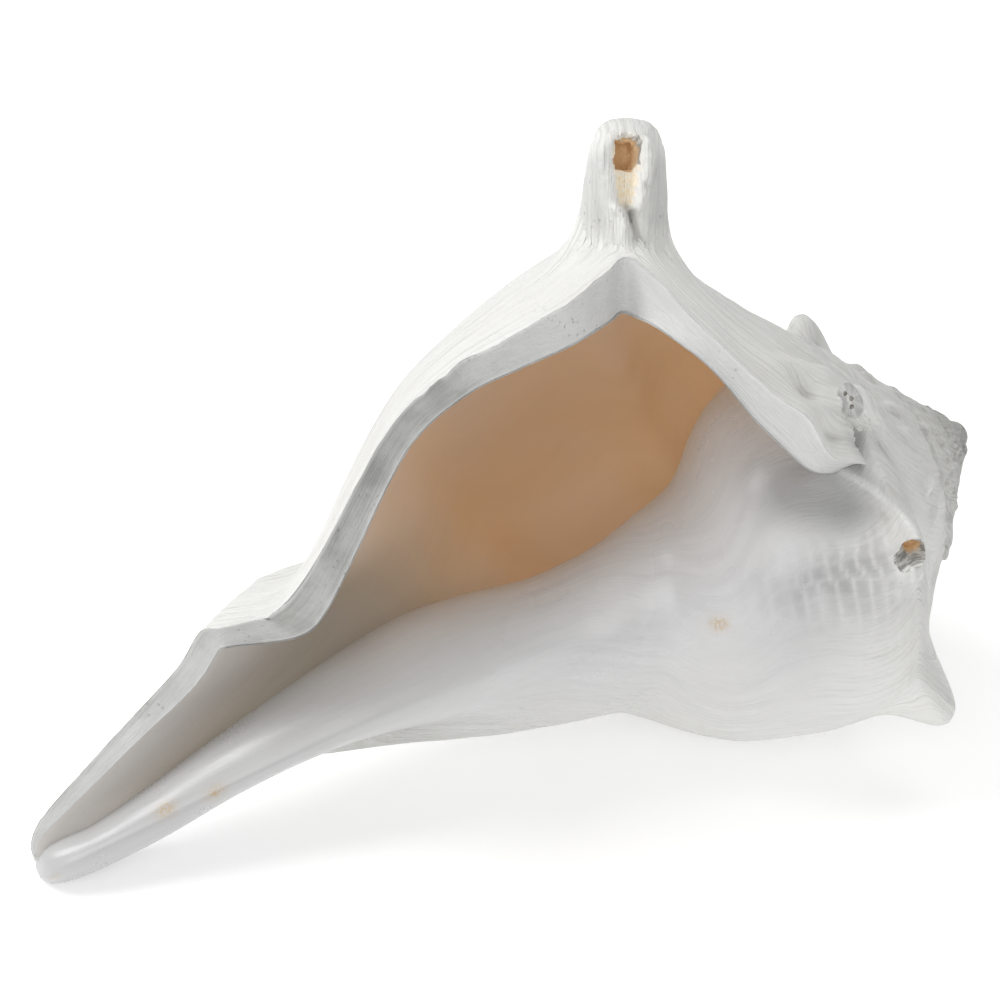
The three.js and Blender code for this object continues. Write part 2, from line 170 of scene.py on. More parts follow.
# Where the spine's opening is, half width by height, its rim, the heights over which it opens and
# closes, and the crease under it with the fold beside it.
SPINE_OPENING = [
    (9.4, 0.3), (10.4, 1.0), (12, 1.5), (14, 1.9), (16.5, 2.1), (18, 2.5), (21.4, 2.4), (22.8, 1.3),
    (23.6, 0.2),
]
SPINE_RIM = {"height": 1.3, "past": 1.4, "half_width": 1.3}
SPINE_OPEN_HEIGHTS = ((8.2, 10), (23.0, 24.2))
SPINE_TONGUE_DEPTH = 2.2
SPINE_CREASE = {"side": 2.5, "slant": -0.29, "depth": 2.2, "half_width": 0.8}
SPINE_FOLD = {"beside": 1.5, "half_width": 1.0, "height": 1.9}
SPINE_FOOT = {"reach": 0.030, "top": 0.012, "steps": 11, "passes": 26}

# The fillet where the skin runs up into the spine: the foot's half width and half depth, and
# the fillet's radius.
SPINE_FOOT_OVAL = (8.6, 6.4)
SPINE_FILLET = 8.0
INNER_ROUNDING = 1.5
SEAM_STEPS = 3
SEAM_PASSES = 8

# How strongly a curve of one millimetre's radius counts as a hollow; this sets the painted
# shade in grooves and the painted highlights on crests.
HOLLOW_STRENGTH = 1.6

# The blunt knob's broken-off stub: angle and place, and half width and half height by height.
STUB = {"angle": -292.1, "place": 6.62}
STUB_SECTIONS = [
    (-5, 3.6, 4.8), (-1, 2.8, 4.2), (2.0, 2.3, 3.8), (3.2, 2.15, 3.6), (3.55, 1.8, 3.1),
    (3.7, 0.5, 0.8),
]
STUB_RINGS = 40
STUB_SIDES = 56
STUB_TOP = 2.9

# Pits in the stub's end: sideways and upwards from its middle, and half width and height by
# height.
PITS = [(0.35, 1.6), (-0.35, 0.1), (0.15, -1.4)]
PIT_SECTIONS = [(2.6, 0.2, 0.2), (3.0, 0.36, 0.4), (3.6, 0.44, 0.5), (5.3, 0.6, 0.65)]

# Stains: angle, place, half width and half height in millimetres, and strength.
STAINS = [(-241.5, 11.75, 1.3, 1.3, 1.0)]

# Folds and hollows of the ramp near the lip's end: angle, place, half width in degrees, half
# height in places, and height.
RAMP_FOLDS = [
    (63, 2.2, 4.5, 0.5, -1.7), (55, 1.25, 4.0, 0.7, 1.5), (70, 2.4, 4.0, 0.7, 1.0),
    (48, 2.0, 4.0, 0.6, -0.9), (58, 3.0, 3.5, 0.7, 0.8), (74, 1.4, 3.5, 0.7, -0.9),
]

# Uneven relief, each kind by its height in millimetres, how wide and how long its waves are,
# and its seed. Lines, ribs, folds, uneven and inside are wide in degrees and long in
# millimetres, threads and spire the other way round, and fibres and chips are in millimetres.
RELIEF = {
    "fine lines": (0.06, 0.8, 30, 12), "lines": (0.10, 2.1, 40, 13), "ribs": (0.16, 2.4, 9, 16),
    "threads": (0.07, 1.3, 25, 14), "early threads": (0.22, 1.9, 60, 20),
    "spire": (0.45, 5.0, 40, 15), "folds": (1.25, 6.5, 7, 17), "uneven": (0.18, 12, 16, 19),
    "inside": (0.10, 15, 22, 21), "fibres": (0.16, 0.8, 16, 42), "fine fibres": (0.1, 0.35, 9, 43),
    "small chips": (0.25, 1.7, 1, 31), "wide chips": (0.35, 6.5, 1, 32), "breaks": (1.0, 2.2, 1, 33),
}
REST_LINES = {"height": 0.28, "spacing": 23, "half_width": 0.05}
NET = {"height": 0.12, "spacing": 3.4, "place": 7.5, "half": 2.2, "angle": -245, "reach": 35}
BASE_THREADS = {"height": 0.3, "spacing": 2.7, "place": 12.9, "half": 1.7, "angle": -197, "reach": 17}
POLISHED_RELIEF = 0.08

# Where the outside is polished: middle and half width in degrees, and share of the polish. The
# stronger share begins between two places.
POLISH = [{"angle": -285, "reach": 95, "share": 0.25}, {"angle": -272, "reach": 92, "share": 0.75}]
POLISH_FROM = (6.5, 10)

# The netted grey patch: where it is, the spacing of its pale lines in degrees and in
# millimetres, and how wide the two kinds are as a share of that.
NETTED = {"angle": -248, "reach": 15, "place": 8.4, "half": 2.0}
NETTED_LINES = {"degrees": 5.5, "length": 4.8, "faint": 0.15, "clear": 0.17}

# Painted shade on the turn that the aperture bares: angle, place, half width in degrees, half
# height in places, and strength. The first is a painted shadow under the lip's end, the fourth
# darkens the body's side turned from the key light, and the fifth is a painted shadow under the blunt
# stub.
PAINTED_SHADE_SPOTS = [
    (-277, 8.5, 11, 1.1, 1.8), (-290, 9.4, 12, 0.9, 0.9), (-266, 7.7, 8, 0.8, 1.0),
    (-238, 9.6, 16, 1.6, 0.35), (-284.5, 6.85, 5, 0.45, 1.5), (-243, 6.9, 5, 0.9, 0.5),
]

# Painted shade down the column: distance of its middle from the apex, half length and strength.
COLUMN_PAINTED_SHADE = {"at": 178, "reach": 62, "strength": 0.5}

# Stains on the column: distance from the apex, angle, half length and half width.
COLUMN_STAINS = [(181, 82, 2.0, 1.3), (171, 89, 1.7, 1.1), (205.5, 105, 0.5, 0.5)]

# A black spot and a dark chip on the lip's face: place, share of the way across, half length in
# millimetres and half width as a share, and strength.
LIP_SPOTS = [(12.8, 0.10, 0.9, 0.09, 1.0), (9.27, 0.06, 0.8, 0.10, 0.8)]

# Lip face: shares of the way across where its rows lie, and its crown in millimetres.
LIP_STEPS = (0.04, 0.1, 0.2, 0.35, 0.5, 0.65, 0.8, 0.9, 0.96)
LIP_CROWN = 0.6

# Rows round the coil and places along the section.
BODY_PLACES = 150
SPIRE_PLACES = 60
INNER_PLACES = 84

# The solid stretches of the coil: name, first angle, last angle, step and count of places.
STRETCHES = [
    ("spire_1", APEX_ANGLE, -1050, 3.5, SPIRE_PLACES), ("spire_2", -1050, -800, 2.6, SPIRE_PLACES),
    ("spire_3", -800, -560, 2.0, SPIRE_PLACES), ("body_1", -560, -380, 1.6, BODY_PLACES),
    ("body_2", -380, HOLLOW_FROM, 1.25, BODY_PLACES),
]
SWEEP_FROM = -39
OPEN_ANGLES = np.concatenate([[HOLLOW_FROM - SEAM], np.arange(HOLLOW_FROM, SWEEP_FROM, 1.45)])
LIP_SWEEP = 84
INNER_ANGLES = np.concatenate([[HOLLOW_FROM - SEAM], np.arange(HOLLOW_FROM, SWEEP_FROM, 4.0)])
INNER_SWEEP = 40
COLUMN_RINGS = 110
COLUMN_SIDES = 72
SPINE_RINGS = 96
SPINE_SIDES = 120
SHARP_EDGE = 50
KNOWN = "known"

# Colours of the shell, and how strongly its inner face and cavities glow with painted light.
CHALK_WHITE = (0.82, 0.82, 0.795)
CHALK_WARM = (0.77, 0.755, 0.715)
CHALK_GREY = (0.60, 0.595, 0.56)
POLISHED_PALE = (0.61, 0.61, 0.615)
POLISHED_GREY = (0.46, 0.46, 0.475)
POLISHED_WARM = (0.57, 0.56, 0.545)
GREY_AND_PAINTED_SHADE = (0.33, 0.33, 0.33)
# Painted shade for grooves, creases and pits.
PAINTED_CREVICE_SHADE = (0.36, 0.345, 0.31)
STAIN_BROWN = (0.50, 0.36, 0.18)
CREAM_PALE = (0.97, 0.91, 0.79)
CREAM_ORANGE = (0.93, 0.79, 0.57)
LIP_GREY = (0.38, 0.38, 0.365)
LIP_LAYER = (0.31, 0.31, 0.295)
LIP_PALE = (0.66, 0.665, 0.655)
LIP_CHIPPED = (0.78, 0.78, 0.76)
SPOT_BLACK = (0.02, 0.02, 0.018)
TAN_DEEP = (0.70, 0.465, 0.26)
TAN_BRIGHT = (0.74, 0.51, 0.31)
TAN_PINK = (0.68, 0.55, 0.45)
CANAL_BEIGE = (0.47, 0.42, 0.35)
CANAL_PALE = (0.60, 0.57, 0.54)
INNER_EDGE = (0.66, 0.63, 0.60)
PAINTED_INNER_GLOW = 0.13
PAINTED_CAVITY_GLOW = 0.12
BLACK = (0.0, 0.0, 0.0)
RIM_GREY = (0.34, 0.33, 0.31)
CAVITY_BROWN = (0.60, 0.40, 0.21)
CAVITY_TAN = (0.82, 0.62, 0.39)

FLOOR_HALF = 3.0
FLOOR_COLOUR = (0.93, 0.93, 0.93, 1)
FLOOR_GLOW = 0.3

# Lights, in metres: name, place, width and power. They point at one place over the floor.
LIGHTS = [
    ("key", (-0.85, 0.05, 1.05), 0.75, 7.6), ("overhead", (0.25, 0.45, 1.25), 1.0, 3.0),
    ("front", (-0.35, -1.2, 0.85), 1.0, 5.0),
]
LIGHT_AIM = (0, 0, 0.05)
WORLD_COLOUR = (1, 1, 1, 1)
WORLD_STRENGTH = 0.5

# The camera, in millimetres, and its roll in degrees.
CAMERA_AT = (-21.58, -488.29, 404.01)
CAMERA_AIM = (-3.78, -0.92, 54.51)
CAMERA_ROLL = 3.59
CAMERA_LENS = 108
CAMERA_SENSOR = 36

# Surfaces, in the order of the shell's material slots.
OUTSIDE, LIP_FACE, INSIDE, CAVITY = range(4)


# A smooth curve through stations, as a function of the stations' first value.
def through(stations, column=1):
    x = np.array([station[0] for station in stations], float)
    y = np.array([station[column] for station in stations], float)
    before = np.maximum(np.arange(len(x)) - 1, 0)
    after = np.minimum(np.arange(len(x)) + 1, len(x) - 1)
    slope = (y[after] - y[before]) / (x[after] - x[before])

    def value(at):
        t = np.clip(at, x[0], x[-1])
        i = np.clip(np.searchsorted(x, t, side="right") - 1, 0, len(x) - 2)
        h = x[i + 1] - x[i]
        f = (t - x[i]) / h
        ends = y[i] * (1 + 2 * f) * (1 - f) ** 2 + y[i + 1] * f * f * (3 - 2 * f)
        return ends + h * f * (1 - f) * (slope[i] * (1 - f) - slope[i + 1] * f)

    return value


section_at = through([(i, a) for i, (a, r) in enumerate(SECTION)])
section_radius = through([(i, r) for i, (a, r) in enumerate(SECTION)])
lip_angle = through(LIP_ANGLE)
wall_thickness = through(WALL)
column_sides = [through(COLUMN, side) for side in (1, 2, 3, 4)]


# Bell curve, 1 at the middle; a higher power gives it a flat top.
def bell(distance, power=2.0):
    return np.exp(-np.abs(distance) ** power)


# 0 before one value and 1 after the other, smooth between them.
def fade(value, start, end):
    t = np.clip((value - start) / (end - start), 0, 1)
    return t * t * (3 - 2 * t)


# 1 between two ranges, rising over the first and falling over the second.
def between(value, rise, fall):
    return fade(value, *rise) * (1 - fade(value, *fall))


# Smooth noise from -1 to 1 with one bump per unit, the same each run.
def noise(x, y, seed):
    x0 = np.floor(x)
    y0 = np.floor(y)

    def corner(dx, dy):
        mixed = np.sin((x0 + dx) * 127.1 + (y0 + dy) * 311.7 + seed * 74.7) * 43758.5453
        return 2 * (mixed - np.floor(mixed)) - 1

    fx = (x - x0) ** 2 * (3 - 2 * (x - x0))
    fy = (y - y0) ** 2 * (3 - 2 * (y - y0))
    low = corner(0, 0) * (1 - fx) + corner(1, 0) * fx
    high = corner(0, 1) * (1 - fx) + corner(1, 1) * fx
    return low * (1 - fy) + high * fy


def growth(degrees):
    phi = np.radians(degrees)
    flare = 1 + LIP_FLARE * np.exp(phi / LIP_FLARE_FADE)
    return np.exp(math.log(GROWTH_PER_TURN) / (2 * math.pi) * phi) * flare / (1 + LIP_FLARE)


def column_radius(degrees, a):
    top, front, bottom, back = [side(a) for side in column_sides]
    c = np.cos(np.radians(degrees))
    s = np.sin(np.radians(degrees))
    return 1 / np.hypot(c / np.where(c >= 0, top, bottom), s / np.where(s >= 0, front, back))


# Larger of two radii, rounded where they meet.
def blend(x, y, rounding):
    return 0.5 * (x + y + np.hypot(x - y, rounding))


# Outward push of the knobs, as a push along the axis and one in radius.
def knob_push(degrees, u, size):
    along = 0.0
    out = 0.0
    for angle, height, half_width, lean, place in KNOBS:
        across = np.abs((degrees - angle) / half_width) ** 2
        down = np.abs((u - place) / KNOB_HALF_WIDTH_ON_SECTION) ** 2
        lift = height * size * np.exp(-((across + down) ** (KNOB_BLUNTNESS / 2)))
        along = along - lean * lift
        out = out + math.sqrt(1 - lean**2) * lift
    return along, out


# A row of beads round the coil, uneven, fading where the large knobs or the lip begin.
def bead_push(beads, degrees, u, size):
    turn = degrees / beads["spacing"] + 0.25 * noise(degrees / 31, 0 * u, 6)
    wave = 0.5 + 0.5 * np.cos(2 * math.pi * turn)
    across = bell((u - beads["place"]) / beads["half_width"])
    uneven = 0.75 + 0.45 * noise(turn, 0 * u, 5)
    early = 1 - fade(degrees, beads["until"] - 30, beads["until"])
    return beads["height"] * size * wave**2.6 * across * uneven * early


# Height of the fold by angle and place, with distances measured roughly in millimetres.
def fold_push(degrees, u):
    scale = np.array([0.62, 5.0])
    start = np.array(FOLD["from"]) * scale
    reach = np.array(FOLD["to"]) * scale - start
    x = degrees * scale[0] - start[0]
    y = u * scale[1] - start[1]
    share = np.clip((x * reach[0] + y * reach[1]) / np.dot(reach, reach), 0, 1)
    distance = np.hypot(x - share * reach[0], y - share * reach[1])
    return FOLD["height"] * bell(distance / FOLD["half"])


# How far the section's end is reached: 0 up to the starting place, and 1 near the last one.
def ending(degrees, u, start):
    return fade(u, start, ENDING["full"]) * (1 - fade(degrees, *ENDING["angles"]))


# Distance along the axis and radius of the outside, at an angle and a place in SECTION.
def outside(degrees, u, with_knobs=True):
    size = growth(degrees)
    station = section_at(u)
    a = size * station
    r = size * section_radius(u)
    along = (station - CANAL_BULGE["at"]) / CANAL_BULGE["length"]
    around = (degrees - CANAL_BULGE["angle"]) / CANAL_BULGE["reach"]
    r = r + CANAL_BULGE["height"] * bell(along) * bell(around)
    pinch = fade(degrees, WAIST["from"], WAIST["to"]) * bell((u - WAIST["place"]) / WAIST["half"])
    r = r - WAIST["depth"] * pinch
    if with_knobs:
        push_a, push_r = knob_push(degrees, u, size)
        bump = SPINE_FOOT_BUMP["height"] * bell((degrees - SPINE_ANGLE) / SPINE_FOOT_BUMP["angle"])
        bump = bump * bell((u - SPINE_PLACE) / SPINE_FOOT_BUMP["place"])
        saddle = bell((degrees - SADDLE["angle"]) / SADDLE["reach"])
        saddle = saddle * bell((u - SADDLE["place"]) / SADDLE["half"])
        a = a + push_a - 0.4 * bump + SADDLE["depth"] * size * saddle
        beads = bead_push(BEADS, degrees, u, size) + bead_push(SUTURE_BEADS, degrees, u, size)
        r = r + push_r + 0.9 * bump + beads + fold_push(degrees, u)
    rounding = COLUMN_BLEND * (1 - 0.97 * ending(degrees, u, ENDING["blend"]))
    tuck = TUCK["depth"] * fade(u, TUCK["from"], LAST)
    return a, blend(r, column_radius(degrees, a), rounding) - tuck


# The shell's own frame: x points to the photograph's upper side, z from the apex to the canal.
def in_shell(a, degrees, r):
    phi = np.radians(degrees)
    return np.stack([r * np.cos(phi), -r * np.sin(phi), a + 0 * r], axis=-1)


def outside_points(degrees, u, with_knobs=True):
    a, r = outside(degrees, u, with_knobs)
    return in_shell(a, degrees, r)


# Unit normals of a grid of points, pointing away from the axis.
def grid_normals(points):
    along_phi = np.gradient(points, axis=0)
    along_u = np.gradient(points, axis=1)
    out = np.cross(along_u, along_phi)
    return out / np.maximum(np.linalg.norm(out, axis=-1, keepdims=True), 1e-9)


# Normals of the smooth outside, from points a short way to each side.
def outside_normals(degrees, u):
    along_phi = outside_points(degrees + 0.6, u) - outside_points(degrees - 0.6, u)
    along_u = outside_points(degrees, np.minimum(u + 0.06, LAST))
    along_u = along_u - outside_points(degrees, np.maximum(u - 0.06, 0))
    out = np.cross(along_u, along_phi)
    return out / np.maximum(np.linalg.norm(out, axis=-1, keepdims=True), 1e-9)


# How hollow a grid is at each point, from -1 on a crest to 1 in a narrow groove.
def hollow_of(points, normals):
    bend = np.zeros(points.shape[:2])
    for axis in (0, 1):
        step = np.diff(points, axis=axis)
        ahead = np.concatenate([step, np.take(step, [-1], axis) * 0], axis=axis)
        behind = np.concatenate([np.take(step, [0], axis) * 0, step], axis=axis)
        rise = np.sum((ahead - behind) * normals, axis=-1)
        reach = np.sum(ahead**2 + behind**2, axis=-1)
        bend += np.where((reach > 1e-9), 2 * rise / np.maximum(reach, 0.02), 0)
    bend[[0, -1]] = 0
    bend[:, [0, -1]] = 0
    bend = np.clip(bend, -1, 1)
    for axis in (0, 1):
        bend = (np.roll(bend, 1, axis) + 2 * bend + np.roll(bend, -1, axis)) / 4
    return np.clip(HOLLOW_STRENGTH * bend, -1, 1)


# From the shell's own frame in millimetres to the part's frame in metres.
def shell_placement():
    turned = Matrix.Rotation(math.radians(AXIS_TURN), 4, "Z")
    turned = turned @ Matrix.Rotation(math.radians(90 + AXIS_DIP), 4, "Y")
    turned = turned @ Matrix.Rotation(math.radians(ROLL), 4, "Z")
    return Matrix.Scale(MM, 4) @ Matrix.Translation(Vector(APEX)) @ turned


PLACEMENT = np.array(shell_placement())


# One kind of RELIEF, by the two measures that its waves run over.
def relief_of(kind, x, y):
    height, wide, long, seed = RELIEF[kind]
    return height * noise(x / wide, y / long, seed)


# Even ridges in one patch of the outside, by the length that they are spaced over.
def threads_at(ridges, length, degrees, u):
    wave = ridges["height"] * np.sin(2 * math.pi * length / ridges["spacing"])
    beside = bell((u - ridges["place"]) / ridges["half"])
    return wave * beside * bell((degrees - ridges["angle"]) / ridges["reach"])


# Sum of soft oval spots: angle, place, half width in degrees, half height in places, strength.
def spots_at(spots, degrees, u):
    total = 0.0
    for angle, place, wide, high, strength in spots:
        total = total + strength * bell(np.hypot((degrees - angle) / wide, (u - place) / high))
    return total


# Relief of the outside, in millimetres along its normal: growth lines run like the lip's edge,
# fine spiral threads run round the coil, and folds cross the ramp.
def outside_relief(degrees, u):
    size = growth(degrees)
    behind = degrees - lip_angle(u)
    length = section_at(u)
    wavy = behind + 1.3 * noise(length / 14, degrees / 50, 11)
    lines = relief_of("fine lines", wavy, length) + relief_of("lines", wavy, length)
    from_rest = wavy / REST_LINES["spacing"]
    rests = bell((from_rest - np.round(from_rest)) / REST_LINES["half_width"])
    rests = REST_LINES["height"] * rests * fade(u, 1, 4)
    threads = relief_of("threads", length, degrees) * (1 - fade(degrees, -60, 0))
    threads = threads + relief_of("early threads", length, degrees) * (1 - fade(degrees, -300, -270))
    spire = relief_of("spire", length, degrees) * (1 - fade(degrees, -330, -290))
    ribs = relief_of("ribs", wavy, length) * between(u, (0.6, 2.0), (4.2, 6.0))
    near_lip = fade(degrees, 22, 45) * (1 - fade(u, 2.2, 3.8))
    near_knobs = np.maximum(bell((degrees + 305) / 42), near_lip)
    folds = relief_of("folds", wavy, length) * near_knobs * (1 - fade(u, 6.4, 7.6))
    folds = folds + spots_at(RAMP_FOLDS, degrees, u)
    uneven = relief_of("uneven", degrees, length)
    netted = threads_at(NET, length, degrees, u)
    return size * (lines + rests + threads + spire + ribs + folds + netted + uneven)


# Short ribs across the underside, where the body narrows into the canal.
def base_threads(degrees, u):
    length = section_at(u) + 0.6 * noise(degrees / 7, u, 23)
    return threads_at(BASE_THREADS, length, degrees, u) * (0.7 + 0.5 * noise(u * 2, degrees / 9, 18))


# Relief of the inner face: smooth, with faint waves.
def inside_relief(degrees, u):
    return relief_of("inside", degrees, section_at(u))


# Places along the section, evenly spread over its length but closer at the shoulder.
def spread_places(count):
    u = np.linspace(0, LAST, 2000)
    steps = np.hypot(np.diff(section_at(u)), np.diff(section_radius(u)))
    weight = 1 + 0.9 * bell((u[1:] - 5.8) / 2.2)
    length = np.concatenate([[0], np.cumsum(steps * weight)])
    return np.interp(np.linspace(0, length[-1], count), length, u)


# Quads of a grid of vertex numbers.
def grid_faces(ids):
    a = ids[:-1, :-1].ravel()
    b = ids[:-1, 1:].ravel()
    c = ids[1:, 1:].ravel()
    d = ids[1:, :-1].ravel()
    return np.stack([a, b, c, d], axis=1).tolist()


# Triangles between two rows of vertex numbers that run side by side, whatever their counts.
def zip_faces(left, right, flip=False):
    faces = []
    i = 0
    j = 0
    while i < len(left) - 1 or j < len(right) - 1:
        next_left = (i + 1) / max(1, len(left) - 1)
        next_right = (j + 1) / max(1, len(right) - 1)
        if j == len(right) - 1 or (i < len(left) - 1 and next_left <= next_right):
            face = [left[i], left[i + 1], right[j]]
            i += 1
        else:
            face = [left[i], right[j + 1], right[j]]
            j += 1
        faces.append(face[::-1] if flip else face)
    return faces


# Values kept for the skin, which the materials read: ring and along are the two measures that
# streaks follow, and the others are masks. They are stored on face corners, so each side of a
# seam keeps its own.
VALUES = ("ring", "along", "polish", "cream", "stain", "hollow", "shade")


# A new object in the scene, of a mesh, a light or a camera.
def new_object(name, data):
    made = bpy.data.objects.new(name, data)
    bpy.context.scene.collection.objects.link(made)
    return made


# An object of one simple form, made by a function of bmesh.ops with its settings.
def simple_object(name, materials, make, **settings):
    mesh = bpy.data.meshes.new(name)
    shaped = bmesh.new()
    make(shaped, **settings)
    shaped.to_mesh(mesh)
    shaped.free()
    for material in materials:
        mesh.materials.append(material)
    return new_object(name, mesh)


# A mesh in the making: points, faces with their surface, and values for the materials.
class Skin:
    def __init__(self):
        self.points = np.zeros((0, 3))
        self.values = np.zeros((0, len(VALUES)))
        self.faces = []
        self.surfaces = []

    # Adds a grid or row of points and returns their numbers in the same layout.
    def add_points(self, points, **values):
        start = len(self.points)
        shape = points.shape[:-1]
        columns = [np.broadcast_to(values.get(key, 0.0), shape).ravel() for key in VALUES]
        self.points = np.concatenate([self.points, points.reshape(-1, 3)])
        self.values = np.concatenate([self.values, np.stack(columns, axis=1)])
        return np.arange(start, len(self.points)).reshape(shape)

    def add_faces(self, faces, surface):
        self.faces += faces
        self.surfaces += [surface] * len(faces)

    # A fan from one point to a row of points.
    def add_fan(self, point, row, surface):
        self.add_faces([[point, a, b] for a, b in zip(row[:-1], row[1:])], surface)

    # The finished object in the part's frame, with its faces turned out.
    def to_object(self, name):
        mesh = bpy.data.meshes.new(name)
        placed = self.points @ PLACEMENT[:3, :3].T + PLACEMENT[:3, 3]
        mesh.from_pydata(placed.tolist(), [], self.faces)
        for material in shell_materials:
            mesh.materials.append(material)
        mesh.polygons.foreach_set("material_index", self.surfaces)
        known = mesh.attributes.new(KNOWN, "FLOAT", "POINT")
        known.data.foreach_set("value", np.ones(len(self.points), np.float32))
        shaped = bmesh.new()
        shaped.from_mesh(mesh)
        bmesh.ops.recalc_face_normals(shaped, faces=shaped.faces)
        shaped.to_mesh(mesh)
        shaped.free()
        corner = np.zeros(len(mesh.loops), np.int64)
        mesh.loops.foreach_get("vertex_index", corner)
        for column, key in enumerate(VALUES):
            layer = mesh.attributes.new(key, "FLOAT", "CORNER")
            layer.data.foreach_set("value", self.values[corner, column].astype(np.float32))
        return new_object(name, mesh)


# How polished the outside is: most over the body and column that the aperture bares.
def polish_of(degrees, u):
    wide, bared = [bell((degrees - part["angle"]) / part["reach"], 4) for part in POLISH]
    bared = bared * fade(u, *POLISH_FROM)
    return np.clip(POLISH[0]["share"] * wide + POLISH[1]["share"] * bared, 0, 1)


# The STAINS as a mask.
def stain_of(degrees, u):
    size = growth(degrees)
    mask = 0.0
    for angle, place, wide, high, strength in STAINS:
        across = np.radians(degrees - angle) * size * section_radius(u)
        down = size * (section_at(u) - section_at(place))
        mask = mask + strength * bell(np.hypot(across / wide, down / high), 2)
    return mask


# A grey patch crossed by pale lines, between the broken knob and the body.
def netted_shade(degrees, u):
    behind = (degrees - lip_angle(u)) / NETTED_LINES["degrees"] + 0.5 * noise(u * 1.2, degrees / 7, 71)
    length = section_at(u) / NETTED_LINES["length"] + 0.35 * noise(degrees / 6, u, 72)
    faint = 0.55 * bell((behind - np.round(behind)) / NETTED_LINES["faint"])
    lines = np.maximum(faint, bell((length - np.round(length)) / NETTED_LINES["clear"]))
    patch = bell((degrees - NETTED["angle"]) / NETTED["reach"])
    patch = patch * bell((u - NETTED["place"]) / NETTED["half"])
    return patch * (1.0 + 0.4 * noise(degrees / 6, u * 2, 73)) * (1 - 0.65 * lines)


def outside_values(degrees, u):
    return {
        # Grey tone: the netted grey patch is the shell's own colour, and the spots are painted shade.
        "shade": np.maximum(netted_shade(degrees, u), spots_at(PAINTED_SHADE_SPOTS, degrees, u)),
        "ring": degrees - lip_angle(u),
        "along": section_at(u),
        "polish": polish_of(degrees, u),
        "stain": stain_of(degrees, u),
    }


# Outside points with their relief and the values kept for them, by a grid of angles and places.
def relief_grid(degrees, u):
    relief = outside_relief(degrees, u) * (1 - (1 - POLISHED_RELIEF) * polish_of(degrees, u))
    relief = relief + base_threads(degrees, u)
    relief = relief * (1 - ending(degrees, u, ENDING["relief"]))
    points = outside_points(degrees, u) + outside_normals(degrees, u) * relief[..., None]
    points = points + spine_fillet(points)
    values = outside_values(degrees, u)
    # Hollowness, kept to paint shade in grooves and highlights on crests, less where polished.
    values["hollow"] = hollow_of(points, grid_normals(points)) * (1 - values["polish"])
    return points, values


# A solid stretch of whorl: the outside down to two points on the axis.
def filled_whorl(name, angles, places):
    degrees, u = np.meshgrid(angles, places, indexing="ij")
    skin = Skin()
    points, values = relief_grid(degrees, u)
    ids = skin.add_points(points, **values)
    ends = [[0, 0, points[:, 0, 2].min()], [0, 0, points[:, -1, 2].max()]]
    top, end = skin.add_points(np.array(ends))
    skin.add_faces(grid_faces(ids), OUTSIDE)
    skin.add_fan(top, ids[:, 0], OUTSIDE)
    skin.add_fan(end, ids[:, -1], OUTSIDE)
    for row in (ids[0], ids[-1]):
        ring = [top, *row, end]
        flat = [Vector((p[2], math.hypot(p[0], p[1]), 0)) for p in skin.points[ring]]
        skin.add_faces([[ring[i] for i in face] for face in tessellate_polygon([flat])], OUTSIDE)
    return skin.to_object(name)


# Angles of the open whorl's rows: fixed ones, then rows that sweep out to the lip's edge.
def open_rows(fixed, edge, count):
    t = np.linspace(0, 1, count + 1)[1:, None]
    swept = fixed[-1] + t * (edge - fixed[-1])
    return np.concatenate([fixed[:, None] + 0 * edge, swept])


# The lip's edge with its chips, worst on the stretch that the photograph shows broken.
def chipped_lip(u):
    length = section_at(u)
    small = relief_of("small chips", length, 0 * u) + relief_of("wide chips", length, 0 * u)
    broken = bell((u - 9.1) / 0.9) * (relief_of("breaks", length, 0 * u) - 0.3)
    return lip_angle(u) + (small + broken) * fade(u, 0.5, 2.5)


# The inner face, one wall's thickness inside the outside without its knobs.
def inner_grid(degrees, u):
    base = outside_points(degrees, u, with_knobs=False)
    before = outside_points(degrees, np.maximum(u - INNER_ROUNDING, 0), with_knobs=False)
    after = outside_points(degrees, np.minimum(u + INNER_ROUNDING, LAST), with_knobs=False)
    inward = fade(lip_angle(u) - degrees, 4, 26) * bell((u - 6.5) / 4.5, 4)
    base = base + 0.3 * inward[..., None] * (before + after - 2 * base)
    depth = wall_thickness(u) - inside_relief(degrees, u)
    return base - grid_normals(base) * depth[..., None]


# Rows across the lip's face, from the outer edge towards the inner one.
def lip_rows(outer, inner):
    along = np.gradient(outer, axis=0)
    ahead = np.cross(inner - outer, along)
    ahead = ahead / np.linalg.norm(ahead, axis=-1, keepdims=True)
    rows = []
    for step in LIP_STEPS:
        rise = LIP_CROWN * (1 - abs(2 * step - 1) ** 5)
        rows.append(outer + step * (inner - outer) + rise * ahead)
    return np.stack(rows)


